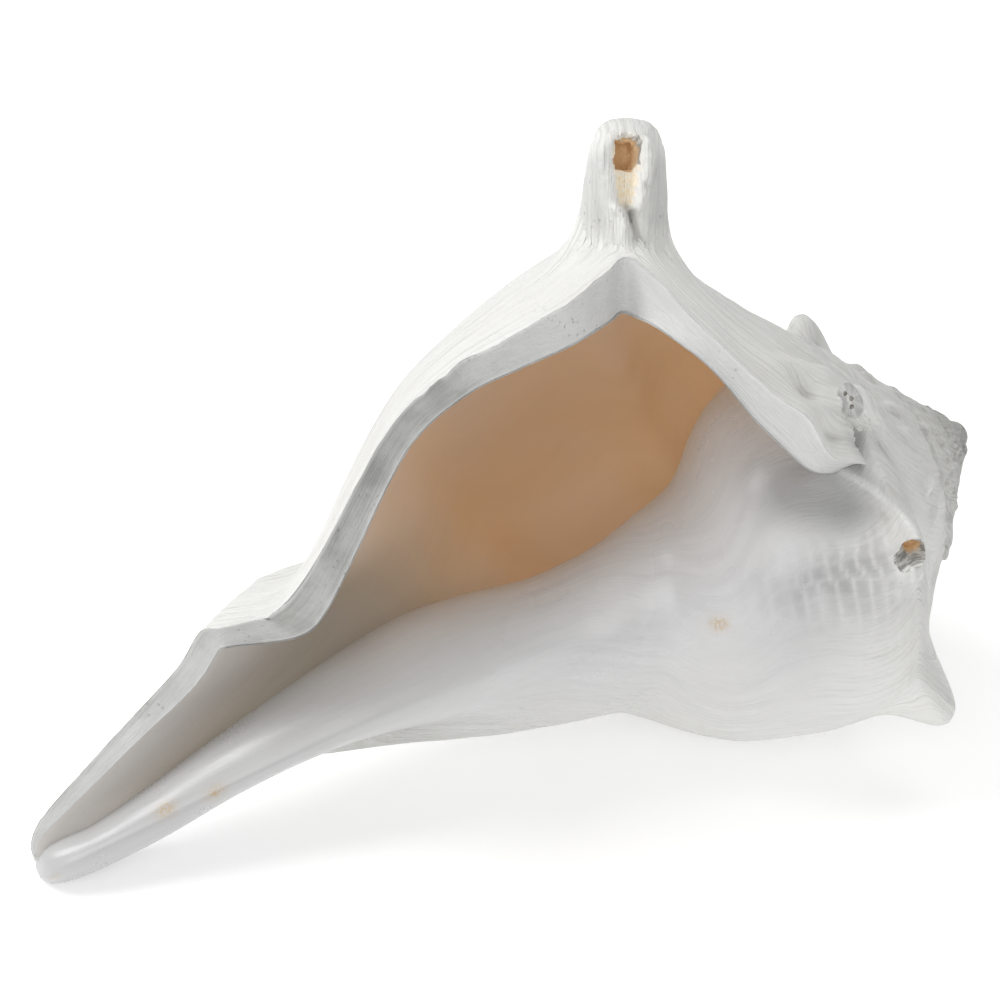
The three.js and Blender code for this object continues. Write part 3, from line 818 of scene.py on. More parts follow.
# The open last turn: outside, lip face and inner face as one closed skin. Its first row lies
# inside the turn before, and its second row is that turn's last one.
def open_whorl(name, angles, places):
    skin = Skin()
    u = np.broadcast_to(places, (len(angles) + LIP_SWEEP, len(places)))
    degrees = open_rows(angles, chipped_lip(places), LIP_SWEEP)
    outer, values = relief_grid(degrees, u)
    outer[0] -= SUNK * grid_normals(outer)[0]
    outer_ids = skin.add_points(outer, **values)

    smooth_degrees = open_rows(angles, lip_angle(places), LIP_SWEEP)
    edge = inner_grid(smooth_degrees, u)[-1]
    face = lip_rows(outer[-1], edge)
    across = np.array(LIP_STEPS)[:, None] + 0 * places
    length = section_at(np.broadcast_to(places, across.shape))
    worn = 0.22 * noise(length / 7, across * 1.5, 35) + 0.10 * noise(length / 1.6, across * 3, 36)
    ahead = face[len(face) // 2] - 0.5 * (outer[-1] + edge)
    ahead = ahead / np.linalg.norm(ahead, axis=-1, keepdims=True)
    face = face + ahead[None] * (worn * np.minimum(across, 1 - across) * 4)[..., None]
    spots = 0.0
    for place, share, long, wide, strength in LIP_SPOTS:
        away = np.hypot((length - section_at(place)) / long, (across - share) / wide)
        spots = spots + strength * bell(away, 4)
    face_ids = skin.add_points(face, ring=across, along=length, stain=spots)

    inner_places = spread_places(INNER_PLACES)
    inner_u = np.broadcast_to(inner_places, (len(INNER_ANGLES) + INNER_SWEEP, len(inner_places)))
    inner_degrees = open_rows(INNER_ANGLES, lip_angle(inner_places), INNER_SWEEP)
    behind = lip_angle(inner_u) - inner_degrees
    inner = inner_grid(inner_degrees, inner_u)
    inner_ids = skin.add_points(inner, ring=behind, along=section_at(inner_u))

    skin.add_faces(grid_faces(outer_ids), OUTSIDE)
    lip_ids = np.concatenate([outer_ids[-1:], face_ids])
    skin.add_faces(grid_faces(lip_ids), LIP_FACE)
    skin.add_faces(zip_faces(lip_ids[-1], inner_ids[-1]), LIP_FACE)
    skin.add_faces(grid_faces(inner_ids), INSIDE)
    skin.add_faces(zip_faces(outer_ids[0], inner_ids[0]), INSIDE)
    for side in (0, -1):
        rim = np.concatenate([outer_ids[:, side], face_ids[:, side]])
        skin.add_faces(zip_faces(rim, inner_ids[:, side]), LIP_FACE)
    return skin.to_object(name)


# The column round the axis, from inside the whorls to the canal's end.
def column(name):
    stations = np.linspace(COLUMN[0][0], COLUMN[-1][0], COLUMN_RINGS)
    angles = np.linspace(0, 360, COLUMN_SIDES + 1)[:-1]
    a, degrees = np.meshgrid(stations, angles, indexing="ij")
    skin = Skin()
    points = in_shell(a, degrees, column_radius(degrees, a))
    # Painted shade over the column's middle stretch.
    shade = COLUMN_PAINTED_SHADE["strength"] * bell((a - COLUMN_PAINTED_SHADE["at"]) / COLUMN_PAINTED_SHADE["reach"], 4)
    stain = 0.0
    for at, angle, long, wide in COLUMN_STAINS:
        across = np.radians(degrees - angle) * column_radius(degrees, a) / wide
        stain = stain + 0.9 * bell(np.hypot((a - at) / long, across))
    ids = skin.add_points(points, ring=degrees / 8, along=a, polish=0.9, shade=shade, stain=stain)
    close_rings(skin, ids, OUTSIDE, polish=0.9)
    return skin.to_object(name)


# The rounded tip that the coil starts from.
def apex_tip(name):
    skin = Skin()
    height = np.linspace(0, 180, 26)[1:-1]
    turn = np.linspace(0, 360, 41)[:-1]
    t, p = np.meshgrid(height, turn, indexing="ij")
    radius = APEX_TIP["radius"]
    out = radius * np.sin(np.radians(t))
    points = in_shell(APEX_TIP["at"] + radius * np.cos(np.radians(t)), p, out)
    ids = skin.add_points(points, ring=p, along=t)
    closed = np.concatenate([ids, ids[:, :1]], axis=1)
    skin.add_faces(grid_faces(closed), OUTSIDE)
    for row, at in ((closed[0], radius), (closed[-1], -radius)):
        pole = skin.add_points(np.array([[0, 0, APEX_TIP["at"] + at]]))[0]
        skin.add_fan(pole, row, OUTSIDE)
    return skin.to_object(name)


def unit(vector):
    return vector / np.linalg.norm(vector)


# A foot point with unit vectors up, out of the front, and sideways.
def standing(foot, up, front):
    front = unit(front - up * np.dot(front, up))
    return foot, up, front, np.cross(up, front)


# Where the lip spine stands.
def spine_frame():
    lean = math.radians(SPINE_LEAN_TO_APEX)
    up = in_shell(-math.sin(lean), SPINE_LEAN_ANGLE, math.cos(lean))
    foot = outside_points(np.array(SPINE_ANGLE), np.array(SPINE_PLACE), with_knobs=False)
    return standing(foot, unit(up), np.array([0.0, -1.0, 0.0]))


# How far the skin rises round the lip spine, so that it runs up into the spine's flanks.
def spine_fillet(points):
    foot, up, front, side = spine_frame()
    away = points - foot
    sideways = away @ side / SPINE_FOOT_OVAL[0]
    forward = away @ front / SPINE_FOOT_OVAL[1]
    oval = np.hypot(sideways, forward)
    radius = SPINE_FILLET * (1 - 0.75 * fade(forward / np.maximum(oval, 1e-6), 0.1, 0.75))
    past = np.clip((oval - 1) * np.mean(SPINE_FOOT_OVAL), 0, radius)
    rise = radius - np.sqrt(radius**2 - (radius - past) ** 2)
    level = away @ up
    rise = rise * fade(level, -24, -12) * (1 - fade(level, 8, 14))
    return rise[..., None] * up


# Points of an oval tube, and for each its height, sideways place and share towards the front.
def oval_rings(place, sections, heights, sides, squareness=1.0):
    foot, up, front, side = place
    half_width = through(sections, 1)(heights)[:, None]
    half_depth = through(sections, 2)(heights)[:, None]
    turn = np.linspace(0, 2 * math.pi, sides + 1)[:-1][None]
    across = np.cos(turn)
    ahead = np.sin(turn)
    sideways = half_width * np.sign(across) * np.abs(across) ** squareness
    forward = half_depth * np.sign(ahead) * np.abs(ahead) ** squareness
    height = heights[:, None] + 0 * turn
    points = foot + height[..., None] * up + sideways[..., None] * side
    points = points + forward[..., None] * front
    return points, height, sideways, np.sin(turn) + 0 * height


# Closes a tube of rings with a fan at each end.
def close_rings(skin, ids, surface, **values):
    closed = np.concatenate([ids, ids[:, :1]], axis=1)
    skin.add_faces(grid_faces(closed), surface)
    for row in (closed[0], closed[-1]):
        middle = skin.points[row[:-1]].mean(axis=0)
        skin.add_fan(skin.add_points(middle[None], **values)[0], row, surface)


# How far past the side of the spine's opening a place on its front is, less than 0 inside it.
def past_opening(height, sideways):
    return np.abs(sideways - SPINE_HOLE["side"]) - through(SPINE_OPENING)(height)


# How far to the side of the spine's slanting crease a place on its front is.
def past_crease(height, sideways):
    return sideways - (SPINE_CREASE["side"] + SPINE_CREASE["slant"] * height)


# Relief of the lip spine: a thick rim round the hole, a sunk cream tongue below it, a crease
# down to the lip with a fold beside it, and fibres along its length.
def spine_relief(height, sideways, facing):
    front = fade(facing, 0.0, 0.35)
    open_height = between(height, *SPINE_OPEN_HEIGHTS)
    past_edge = past_opening(height, sideways)
    ragged = 1 + 0.45 * noise(height / 1.3, sideways / 1.3, 41)
    from_rim = (past_edge - SPINE_RIM["past"]) / SPINE_RIM["half_width"]
    rim = SPINE_RIM["height"] * bell(from_rim, 3) * ragged * open_height
    tongue = -SPINE_TONGUE_DEPTH * (1 - fade(past_edge, -0.5, 0.35)) * open_height
    from_crease = past_crease(height, sideways)
    low = between(height, (-3, 0), (9.0, 11.0))
    crease = -SPINE_CREASE["depth"] * bell(from_crease / SPINE_CREASE["half_width"]) * low
    from_fold = (from_crease + SPINE_FOLD["beside"]) / SPINE_FOLD["half_width"]
    fold = SPINE_FOLD["height"] * bell(from_fold) * low * (1 + 0.6 * fade(height, 7, 2))
    fibres = relief_of("fibres", sideways, height) + relief_of("fine fibres", sideways, height)
    fibres = fibres * fade(height, -1, 5)
    return front * (rim + tongue + crease + fold) + fibres * (1 - front * open_height * 0.7)


# The tall spine on the lip.
def lip_spine(name, place):
    heights = np.linspace(SPINE_SECTIONS[0][0], SPINE_SECTIONS[-1][0], SPINE_RINGS)
    points, height, sideways, facing = oval_rings(place, SPINE_SECTIONS, heights, SPINE_SIDES)
    wrapped = np.concatenate([points[:, -1:], points, points[:, :1]], axis=1)
    out = grid_normals(wrapped)[:, 1:-1]
    if np.sum(out * (points - points.mean(axis=1, keepdims=True))) < 0:
        out = -out
    relief = spine_relief(height, sideways, facing)
    relief = relief * (1 - fade(height, 24.5, 25.8))
    inside = past_opening(height, sideways) < 0
    cream = inside * fade(facing, 0.2, 0.6) * fade(height, 9.5, 11.5) * (1 - fade(height, 22, 23))
    tinted = bell((height - 22.9) / 1.0) * bell((sideways + 1.0) / 2.2) * fade(facing, 0.2, 0.6)
    cream = np.maximum(cream, 0.45 * tinted)
    low = between(height, (-1, 1), (9.0, 11.5))
    # Painted shade along the crease under the opening.
    painted_crease_shade = bell((past_crease(height, sideways) - 0.3) / 0.9) * low * fade(facing, 0.1, 0.5)
    flank = 0.5 * fade(np.abs(sideways + 0.5), 3.0, 5.0)
    flank = flank * (1 - fade(height, 17, 22)) * fade(height, 3, 8)
    skin = Skin()
    placed = points + out * relief[..., None]
    kept = {"ring": sideways * 2.0, "along": height, "cream": cream, "shade": flank, "hollow": painted_crease_shade}
    ids = skin.add_points(placed, **kept)
    close_rings(skin, ids, OUTSIDE)
    return skin.to_object(name)


# A ragged tube that cuts a hole.
def ragged_cutter(name, place, sections, sides, rough, seed, rim_at=0.0, squareness=1.0):
    heights = np.linspace(sections[0][0], sections[-1][0], 30)
    points, height, sideways, _ = oval_rings(place, sections, heights, sides, squareness)
    middle = points.mean(axis=1, keepdims=True)
    turn = np.arange(sides)[None] + 0 * height
    share = turn / sides
    wave = noise(turn / 3, height / 1.5, seed) * (1 - share)
    wave = wave + noise((turn - sides) / 3, height / 1.5, seed) * share
    points = middle + (points - middle) * (1 + rough * wave)[..., None]
    skin = Skin()
    ids = skin.add_points(points, ring=sideways, along=height - rim_at)
    close_rings(skin, ids, CAVITY, along=-9.0)
    return skin.to_object(name)


def spine_hole(name, place):
    foot, up, front, side = place
    into = unit(front + SPINE_HOLE["slope"] * up)
    middle = foot + up * SPINE_HOLE["height"] + side * SPINE_HOLE["side"]
    hole = standing(middle, into, up)
    return ragged_cutter(name, hole, SPINE_HOLE_SECTIONS, 64, 0.2, 51, SPINE_HOLE["rim_at"], 0.6)


# Where a shoulder knob's tip is and which way it points.
def knob_frame(index):
    angle, _, _, lean, at = KNOBS[index]
    foot = outside_points(np.array(float(angle)), np.array(at))
    up = unit(in_shell(-lean, np.array(float(angle)), 1.0))
    return standing(foot, up, np.array([0.0, 0.0, -1.0]))


def broken_mouth(name):
    foot, up, front, side = knob_frame(BROKEN_KNOB)
    middle = foot + side * BROKEN_MOUTH["side"] + front * BROKEN_MOUTH["front"]
    mouth = standing(middle, unit(up + BROKEN_MOUTH["slope"] * front), front)
    return ragged_cutter(name, mouth, BROKEN_MOUTH_SECTIONS, 48, 0.22, 52, BROKEN_MOUTH["rim_at"])


# Where something stands square to the outside, by angle and place.
def square_to_skin(angle, place):
    degrees = np.array([[float(angle)]])
    u = np.array([[place]])
    foot = outside_points(degrees, u)[0, 0]
    return standing(foot, outside_normals(degrees, u)[0, 0], np.array([1.0, 0.0, 0.0]))


# The short stub of the blunt knob, with a flat speckled end.
def blunt_stub(name):
    at = square_to_skin(STUB["angle"], STUB["place"])
    heights = np.linspace(STUB_SECTIONS[0][0], STUB_SECTIONS[-1][0], STUB_RINGS)
    points, height, sideways, facing = oval_rings(at, STUB_SECTIONS, heights, STUB_SIDES, 0.8)
    middle = points.mean(axis=1, keepdims=True)
    rough = 0.05 * noise(sideways / 0.9, height / 1.1 + 3 * facing, 81)
    points = middle + (points - middle) * (1 + rough)[..., None]
    on_end = fade(height, STUB_TOP, STUB_TOP + 0.5)
    shade = on_end * (0.8 + 0.5 * noise(sideways / 0.5, facing * 8, 82))
    skin = Skin()
    ids = skin.add_points(points, ring=sideways * 3, along=height * 2, shade=shade)
    close_rings(skin, ids, OUTSIDE, shade=0.5)
    return skin.to_object(name)


# Small pits in the stub's end.
def knob_pits():
    pits = []
    foot, into, front, side = square_to_skin(STUB["angle"], STUB["place"])
    for number, (sideways, forward) in enumerate(PITS):
        at = (foot + side * sideways + front * forward, into, front, side)
        pits.append(ragged_cutter(f"pit_{number}", at, PIT_SECTIONS, 14, 0.15, 60 + number))
    return pits


# Everything below the floor.
def under_floor(name):
    below = Matrix.Translation((0, 0, -0.5))
    return simple_object(name, shell_materials, bmesh.ops.create_cube, size=1, matrix=below)


# One object from several: the first, joined with some and cut by others.
def carve(name, first, joined, cut):
    for other in [*joined, *cut]:
        step = first.modifiers.new(other.name, "BOOLEAN")
        step.object = other
        step.operation = "UNION" if other in joined else "DIFFERENCE"
        step.solver = "MANIFOLD"
    graph = bpy.context.evaluated_depsgraph_get()
    mesh = bpy.data.meshes.new_from_object(first.evaluated_get(graph))
    piece = new_object(name, mesh)
    for used in [first, *joined, *cut]:
        bpy.data.objects.remove(used)
    return piece


# Takes out the flat pockets that joining can leave: two faces back to back on the same points.
def drop_pockets(mesh):
    shape = bmesh.new()
    shape.from_mesh(mesh)
    by_points = {}
    for face in shape.faces:
        by_points.setdefault(frozenset(face.verts), []).append(face)
    pockets = [face for faces in by_points.values() if len(faces) > 1 for face in faces]
    bmesh.ops.delete(shape, geom=pockets, context="FACES")
    shape.to_mesh(mesh)
    shape.free()


# Numbers of the two ends of every edge.
def edges_of(mesh):
    ends = np.zeros(len(mesh.edges) * 2, np.int64)
    mesh.edges.foreach_get("vertices", ends)
    return ends.reshape(-1, 2)


# The points that joining and cutting made.
def made_points(mesh):
    known = np.zeros(len(mesh.vertices), np.float32)
    mesh.attributes[KNOWN].data.foreach_get("value", known)
    return known < 0.5


def read_points(mesh):
    points = np.zeros(len(mesh.vertices) * 3)
    mesh.vertices.foreach_get("co", points)
    return points.reshape(-1, 3)


# How near each point is to the marked ones: 1 on them, less by a step for each edge away.
def spread_mask(marked, edges, steps):
    near = marked.astype(float)
    for step in range(steps):
        level = 1 - (step + 1) / (steps + 1)
        for a, b in (edges.T, edges.T[::-1]):
            close = a[near[b] > level]
            near[close] = np.maximum(near[close], level)
    return near


# Evens out the skin where parts were joined: a little along the seams of the coil, and more
# round the lip spine's foot. Holes and the worn flat keep their edges.
def soften_seams(mesh, made, place):
    foot, up = place[:2]
    points = read_points(mesh)
    foot_at = PLACEMENT[:3, :3] @ foot + PLACEMENT[:3, 3]
    up_at = unit(PLACEMENT[:3, :3] @ up)
    height = (points - foot_at) @ up_at
    at_foot = np.linalg.norm(points - foot_at, axis=1) < SPINE_FOOT["reach"]
    at_foot = at_foot & (height < SPINE_FOOT["top"]) & (height > -SPINE_FOOT["top"])
    edges = edges_of(mesh)
    on_outside = touches_outside(mesh)
    lying = spread_mask(points[:, 2] < 1e-5, edges, 3)
    foot_near = spread_mask(made & at_foot & on_outside, edges, SPINE_FOOT["steps"])
    seam_near = spread_mask(made & ~at_foot & on_outside, edges, SEAM_STEPS)
    count = np.maximum(np.bincount(edges.ravel(), minlength=len(points)), 1)[:, None]
    for passes, near in ((SPINE_FOOT["passes"], foot_near), (SEAM_PASSES, seam_near)):
        weight = 0.6 * (near * (1 - lying) * on_outside)[:, None]
        for _ in range(passes):
            total = np.zeros_like(points)
            for axis in range(3):
                total[:, axis] = np.bincount(edges[:, 0], points[edges[:, 1], axis], len(points))
                total[:, axis] += np.bincount(edges[:, 1], points[edges[:, 0], axis], len(points))
            points = points + weight * (total / count - points)
    mesh.vertices.foreach_set("co", points.ravel())
    mesh.update()


# Points that belong to outside faces alone.
def touches_outside(mesh):
    surface = np.zeros(len(mesh.polygons), np.int64)
    mesh.polygons.foreach_get("material_index", surface)
    sizes = np.zeros(len(mesh.polygons), np.int64)
    mesh.polygons.foreach_get("loop_total", sizes)
    corner = np.zeros(len(mesh.loops), np.int64)
    mesh.loops.foreach_get("vertex_index", corner)
    other = np.repeat(surface != OUTSIDE, sizes)
    return np.bincount(corner, other, len(mesh.vertices)) == 0


# Angles from one to another in equal steps no larger than the one given.
def angle_steps(start, end, step):
    return np.linspace(start, end, math.ceil((end - start) / step) + 1)


def make_shell():
    spine = spine_frame()
    first, *stretches = [
        filled_whorl(name, angle_steps(start, end, step), spread_places(count))
        for name, start, end, step, count in STRETCHES
    ]
    joined = [
        *stretches,
        open_whorl("body_3", OPEN_ANGLES, spread_places(BODY_PLACES)),
        column("column"),
        apex_tip("apex_tip"),
        lip_spine("lip_spine", spine),
        blunt_stub("blunt_stub"),
    ]
    cut = [spine_hole("spine_hole", spine), broken_mouth("broken_mouth"), *knob_pits()]
    shell = carve("shell_body", first, joined, [*cut, under_floor("under_floor")])
    drop_pockets(shell.data)
    soften_seams(shell.data, made_points(shell.data), spine)
    for polygon in shell.data.polygons:
        polygon.use_smooth = True
    shell.data.set_sharp_from_angle(angle=math.radians(SHARP_EDGE))
    return shell


# A node with its settings, and its inputs by name: values, or sockets to link.
def put(tree, kind, inputs=None, **settings):
    node = tree.nodes.new(kind)
    for key, value in settings.items():
        setattr(node, key, value)
    for key, value in (inputs or {}).items():
        if isinstance(value, bpy.types.NodeSocket):
            tree.links.new(value, node.inputs[key])
        else:
            node.inputs[key].default_value = value
    return node


def math_node(tree, operation, *values):
    return put(tree, "ShaderNodeMath", dict(enumerate(values)), operation=operation).outputs[0]


def times(tree, a, b):
    return math_node(tree, "MULTIPLY", a, b)


# A value moved from one range to another, smooth at both ends.
def ranged(tree, value, low, high, start=0.0, end=1.0):
    inputs = {"Value": value, "From Min": low, "From Max": high, "To Min": start, "To Max": end}
    node = put(tree, "ShaderNodeMapRange", inputs, interpolation_type="SMOOTHSTEP")
    return node.outputs["Result"]


# One colour laid over another by a mask.
def lay_over(tree, under, over, mask):
    node = put(tree, "ShaderNodeMix", data_type="RGBA")
    for key, value in (("A_Color", under), ("B_Color", over), ("Factor_Float", mask)):
        socket = next(s for s in node.inputs if s.identifier == key)
        if isinstance(value, bpy.types.NodeSocket):
            tree.links.new(value, socket)
        else:
            socket.default_value = (*value, 1) if isinstance(value, tuple) else value
    return next(s for s in node.outputs if s.identifier == "Result_Color")


# A colour laid over by others in turn, each with its mask.
def layered(tree, colour, *layers):
    for over, mask in layers:
        colour = lay_over(tree, colour, over, mask)
    return colour


def noise_of(tree, place, scale, detail, roughness=0.5):
    inputs = {"Vector": place, "Scale": scale, "Detail": detail, "Roughness": roughness}
    return put(tree, "ShaderNodeTexNoise", inputs).outputs["Fac"]


def kept_value(tree, key):
    return put(tree, "ShaderNodeAttribute", attribute_name=key, attribute_type="GEOMETRY").outputs["Fac"]


# A node group with named number inputs and outputs, and its two end nodes.
def new_effect(name, inputs, outputs):
    group = bpy.data.node_groups.new(name, "ShaderNodeTree")
    for key, value in inputs.items():
        socket = group.interface.new_socket(key, in_out="INPUT", socket_type="NodeSocketFloat")
        socket.default_value = value
    for key in outputs:
        group.interface.new_socket(key, in_out="OUTPUT", socket_type="NodeSocketFloat")
    start = group.nodes.new("NodeGroupInput")
    end = group.nodes.new("NodeGroupOutput")
    return group, start.outputs, end.inputs


# Streaks that run like the lip's edge: a noise stretched along the kept ring and along values.
def growth_streaks():
    inputs = {"Rings per Degree": 0.8, "Waves per Millimetre": 0.05, "Contrast": 1.0}
    group, given, result = new_effect("growth_streaks", inputs, ["Streak"])
    across = times(group, kept_value(group, "ring"), given["Rings per Degree"])
    along = times(group, kept_value(group, "along"), given["Waves per Millimetre"])
    place = put(group, "ShaderNodeCombineXYZ", {"X": across, "Y": along}).outputs["Vector"]
    spread = math_node(group, "SUBTRACT", noise_of(group, place, 1.0, 4.0, 0.6), 0.5)
    streak = math_node(group, "ADD", times(group, spread, given["Contrast"]), 0.5)
    group.links.new(streak, result["Streak"])
    return group


# Chalky grain and pits of a given size in millimetres.
def chalk_grain():
    group, given, result = new_effect("chalk_grain", {"Grain Size": 0.5}, ["Grain", "Pits"])
    place = put(group, "ShaderNodeTexCoord").outputs["Object"]
    scale = math_node(group, "DIVIDE", 1000.0, given["Grain Size"])
    grain = noise_of(group, place, scale, 3.0, 0.65)
    wider = times(group, scale, 0.35)
    cells = put(group, "ShaderNodeTexVoronoi", {"Vector": place, "Scale": wider, "Randomness": 1.0})
    pits = ranged(group, cells.outputs["Distance"], 0.05, 0.28, 1.0, 0.0)
    pits = times(group, pits, ranged(group, noise_of(group, place, 70.0, 2.0), 0.5, 0.62))
    group.links.new(grain, result["Grain"])
    group.links.new(pits, result["Pits"])
    return group


# Soft patches of a given size in millimetres.
def soft_patches():
    group, given, result = new_effect("soft_patches", {"Patch Size": 20.0}, ["Patch"])
    place = put(group, "ShaderNodeTexCoord").outputs["Object"]
    scale = math_node(group, "DIVIDE", 1000.0, given["Patch Size"])
    cloud = noise_of(group, place, scale, 3.0, 0.55)
    group.links.new(ranged(group, cloud, 0.35, 0.65), result["Patch"])
    return group


def streaks_of(tree, rings, waves, contrast):
    inputs = {"Rings per Degree": rings, "Waves per Millimetre": waves, "Contrast": contrast}
    return put(tree, "ShaderNodeGroup", inputs, node_tree=streaks).outputs["Streak"]


# Chalky grain, its pits, and the grain less the pits as a relief.
def grain_of(tree, size):
    made = put(tree, "ShaderNodeGroup", {"Grain Size": size}, node_tree=chalk).outputs
    return made["Grain"], made["Pits"], math_node(tree, "SUBTRACT", made["Grain"], made["Pits"])


def patch_of(tree, size):
    return put(tree, "ShaderNodeGroup", {"Patch Size": size}, node_tree=patches).outputs["Patch"]


# A material with constants set on its shader, its node tree and the shader's inputs.
def new_material(name, constants):
    material = bpy.data.materials.new(name)
    material.use_nodes = True
    tree = material.node_tree
    shader = tree.nodes["Principled BSDF"]
    for key, value in constants.items():
        shader.inputs[key].default_value = value
    return material, tree, shader.inputs


# Gives a shader its colour, roughness and normal.
def set_surface(tree, shader, colour, roughness, normal):
    tree.links.new(colour, shader["Base Color"])
    tree.links.new(roughness, shader["Roughness"])
    tree.links.new(normal, shader["Normal"])


# Relief in metres from a height that runs from 0 to 1.
def bump(tree, height, metres, normal=None):
    inputs = {"Height": height, "Distance": metres, "Strength": 1.0}
    if normal is not None:
        inputs["Normal"] = normal
    return put(tree, "ShaderNodeBump", inputs).outputs["Normal"]


# The outside: bleached chalky white with warm grey growth streaks, polished pale grey where
# the aperture bares it, brown stains, and cream in the spine's opening. Shade is painted into
# its grooves, pits and creases, under the lip's end and down the column, and highlights onto
# its crests.
def chalky_outside():
    constants = {"Coat Roughness": 0.24, "IOR": 1.5}
    material, tree, shader = new_material("chalky_outside", constants)
    polish = kept_value(tree, "polish")
    hollow = kept_value(tree, "hollow")
    fine = streaks_of(tree, 1.15, 0.04, 1.7)
    broad = streaks_of(tree, 0.16, 0.03, 1.8)
    coiled = streaks_of(tree, 0.012, 0.9, 1.8)
    grain, pits, pitted = grain_of(tree, 0.55)
    patch = patch_of(tree, 22.0)

    # The grain's pits are darkened with painted shade.
    dull = layered(
        tree, CHALK_WHITE, (CHALK_GREY, ranged(tree, fine, 0.45, 0.85, 0.0, 0.75)),
        (CHALK_WARM, times(tree, patch, 0.35)), (CHALK_GREY, times(tree, pits, 0.5)),
    )
    glossy = layered(
        tree, POLISHED_PALE, (POLISHED_GREY, ranged(tree, broad, 0.3, 0.9, 0.0, 0.3)),
        (POLISHED_WARM, times(tree, patch, 0.25)),
    )
    cream = lay_over(tree, CREAM_PALE, CREAM_ORANGE, ranged(tree, grain, 0.42, 0.62))
    on_spire = ranged(tree, kept_value(tree, "ring"), -340.0, -380.0)
    colour = layered(
        # Painted shade from the shade spots and the column, and in grooves and creases; painted highlights
        # on crests.
        tree, dull, (glossy, polish), (GREY_AND_PAINTED_SHADE, times(tree, kept_value(tree, "shade"), 0.68)),
        (CHALK_GREY, times(tree, ranged(tree, coiled, 0.4, 0.75, 0.0, 0.6), on_spire)),
        (PAINTED_CREVICE_SHADE, ranged(tree, hollow, 0.15, 0.9, 0.0, 0.6)),
        (CHALK_WHITE, ranged(tree, hollow, -0.25, -0.8, 0.0, 0.6)),
        (STAIN_BROWN, times(tree, kept_value(tree, "stain"), ranged(tree, grain, 0.3, 0.6))),
        (cream, kept_value(tree, "cream")),
    )

    chalky = ranged(tree, grain, 0.3, 0.7, 0.5, 0.72)
    smooth = ranged(tree, patch, 0.0, 1.0, 0.24, 0.38)
    mixed = put(tree, "ShaderNodeMix", {"Factor": polish, "A": chalky, "B": smooth}, data_type="FLOAT")
    tree.links.new(times(tree, polish, 0.4), shader["Coat Weight"])
    rough = math_node(tree, "SUBTRACT", 1.0, times(tree, polish, 0.93))
    low = bump(tree, times(tree, broad, rough), 0.0005)
    lines = bump(tree, times(tree, fine, rough), 0.00035, low)
    normal = bump(tree, times(tree, pitted, rough), 0.00012, lines)
    set_surface(tree, shader, colour, mixed.outputs["Result"], normal)
    return material


# The lip's worn face: grey layers that run along the edge, whiter where it is chipped, and
# painted light that pales it towards the spine.
def worn_lip():
    material, tree, shader = new_material("worn_lip", {"IOR": 1.5})
    across = kept_value(tree, "ring")
    along = kept_value(tree, "along")
    layers = streaks_of(tree, 14.0, 0.12, 1.6)
    grain, pits, pitted = grain_of(tree, 0.45)
    colour = layered(
        tree, LIP_GREY, (LIP_LAYER, ranged(tree, layers, 0.4, 0.8)),
        (LIP_PALE, times(tree, patch_of(tree, 9.0), 0.45)),
        # Painted light: paler from the lip's middle towards the spine.
        (LIP_PALE, ranged(tree, along, 92.0, 62.0, 0.0, 1.0)),
        (LIP_PALE, ranged(tree, along, 118.0, 145.0, 0.0, 0.6)),
        (LIP_CHIPPED, ranged(tree, across, 0.16, 0.0, 0.0, 0.8)),
        # Pits darkened with painted shade on the next line.
        (LIP_PALE, ranged(tree, across, 0.86, 1.0, 0.0, 0.6)), (PAINTED_CREVICE_SHADE, times(tree, pits, 0.45)),
        (SPOT_BLACK, times(tree, kept_value(tree, "stain"), ranged(tree, grain, 0.2, 0.5))),
    )
    normal = bump(tree, pitted, 0.00014, bump(tree, layers, 0.00022))
    set_surface(tree, shader, colour, ranged(tree, grain, 0.3, 0.7, 0.42, 0.62), normal)
    return material


# The inner face: tan deep in the whorl, pinkish towards the lip, grey-beige down the canal. A
# faint painted glow, strongest deep inside, lightens the shaded inside.
def tan_inside():
    constants = {"Coat Weight": 0.15, "Coat Roughness": 0.3, "IOR": 1.5}
    constants["Emission Strength"] = PAINTED_INNER_GLOW
    material, tree, shader = new_material("tan_inside", constants)
    behind = kept_value(tree, "ring")
    along = kept_value(tree, "along")
    faint = streaks_of(tree, 0.05, 0.008, 0.9)
    grain = grain_of(tree, 0.6)[0]
    patch = patch_of(tree, 26.0)
    deep = layered(
        tree, TAN_DEEP, (TAN_BRIGHT, ranged(tree, faint, 0.3, 0.7)),
        (TAN_PINK, times(tree, patch, 0.25)),
    )
    canal = lay_over(tree, CANAL_PALE, CANAL_BEIGE, ranged(tree, behind, 6.0, 60.0))
    colour = layered(
        tree, TAN_PINK, (deep, ranged(tree, behind, 10.0, 95.0)),
        (canal, ranged(tree, along, 112.0, 150.0)),
        (INNER_EDGE, ranged(tree, behind, 9.0, 0.0, 0.0, 0.85)),
    )
    # Painted light: a glow that grows deeper inside.
    painted_glow_colour = lay_over(tree, BLACK, colour, ranged(tree, behind, 4.0, 70.0, 0.25, 1.0))
    tree.links.new(painted_glow_colour, shader["Emission Color"])
    normal = bump(tree, grain, 0.00004, bump(tree, faint, 0.0003))
    set_surface(tree, shader, colour, ranged(tree, patch, 0.0, 1.0, 0.34, 0.48), normal)
    return material
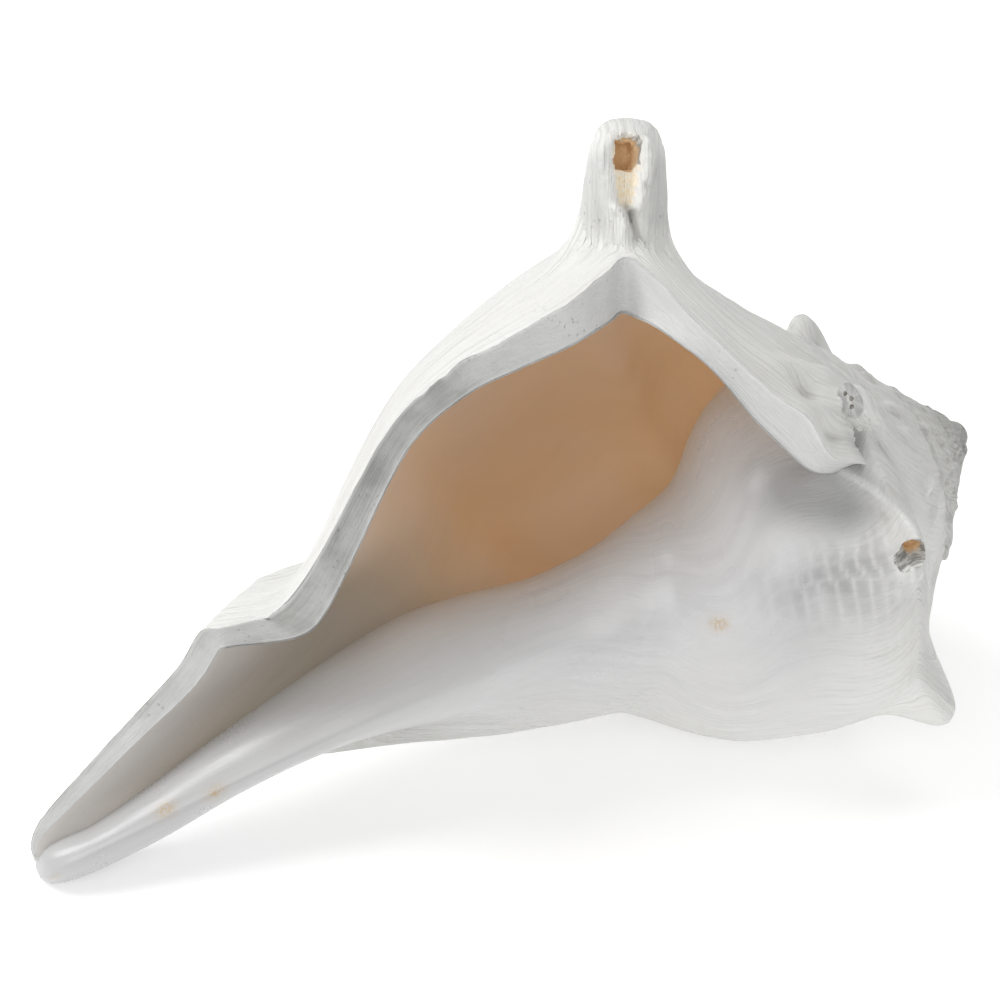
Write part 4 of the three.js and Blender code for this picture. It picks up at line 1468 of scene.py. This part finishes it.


# Where it broke open or was bored: raw brown, crumbly, with paler grains, and a faint painted
# glow inside the rim.
def brown_cavity():
    constants = {"IOR": 1.45, "Emission Strength": PAINTED_CAVITY_GLOW}
    material, tree, shader = new_material("brown_cavity", constants)
    grain, _, crumbs = grain_of(tree, 0.7)
    fibres = streaks_of(tree, 1.6, 0.3, 1.8)
    rim = lay_over(tree, RIM_GREY, CHALK_WHITE, ranged(tree, fibres, 0.35, 0.65))
    at_rim = ranged(tree, kept_value(tree, "along"), -3.2, -1.4)
    raw = layered(
        tree, CAVITY_BROWN, (CAVITY_TAN, patch_of(tree, 3.5)),
        (CREAM_PALE, ranged(tree, grain, 0.58, 0.72, 0.0, 0.6)),
    )
    # Painted light: the raw inside glows, the rim does not.
    tree.links.new(lay_over(tree, raw, BLACK, at_rim), shader["Emission Color"])
    colour = lay_over(tree, raw, rim, at_rim)
    set_surface(tree, shader, colour, ranged(tree, grain, 0.3, 0.7, 0.6, 0.85), bump(tree, crumbs, 0.0004))
    return material


# The floor: plain, pale and matt, with a faint glow that keeps it near white.
def pale_floor():
    constants = {"Base Color": FLOOR_COLOUR, "Roughness": 0.9, "Specular IOR Level": 0.1}
    glow = {"Emission Color": FLOOR_COLOUR, "Emission Strength": FLOOR_GLOW}
    return new_material("pale_floor", {**constants, **glow})[0]


def add_floor():
    flat = {"x_segments": 1, "y_segments": 1, "size": FLOOR_HALF}
    floor = simple_object("floor", [pale_floor()], bmesh.ops.create_grid, **flat)
    floor.location.z = cad_box[0].z


def add_lights():
    for name, place, size, power in LIGHTS:
        light = bpy.data.lights.new(name, "AREA")
        light.shape = "DISK"
        light.size = size
        light.energy = power
        lamp = new_object(name, light)
        lamp.location = place
        lamp.rotation_euler = (Vector(LIGHT_AIM) - Vector(place)).to_track_quat("-Z", "Y").to_euler()
    world = bpy.data.worlds.new("studio")
    world.use_nodes = True
    background = world.node_tree.nodes["Background"]
    background.inputs["Color"].default_value = WORLD_COLOUR
    background.inputs["Strength"].default_value = WORLD_STRENGTH
    bpy.context.scene.world = world


def add_camera():
    data = bpy.data.cameras.new("camera")
    data.lens = CAMERA_LENS
    data.sensor_width = CAMERA_SENSOR
    camera = new_object("camera", data)
    place = Vector(CAMERA_AT) * MM
    back = (place - Vector(CAMERA_AIM) * MM).normalized()
    turned = back.to_track_quat("Z", "Y").to_matrix().to_4x4()
    roll = Matrix.Rotation(math.radians(CAMERA_ROLL), 4, "Z")
    camera.matrix_world = Matrix.Translation(place) @ turned @ roll
    bpy.context.scene.camera = camera


streaks = growth_streaks()
chalk = chalk_grain()
patches = soft_patches()
shell_materials = [chalky_outside(), worn_lip(), tan_inside(), brown_cavity()]
shell = make_shell()
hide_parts(NODE)
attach(shell, BODY)
add_floor()
add_lights()
add_camera()
bpy.context.scene.view_settings.view_transform = "Standard"
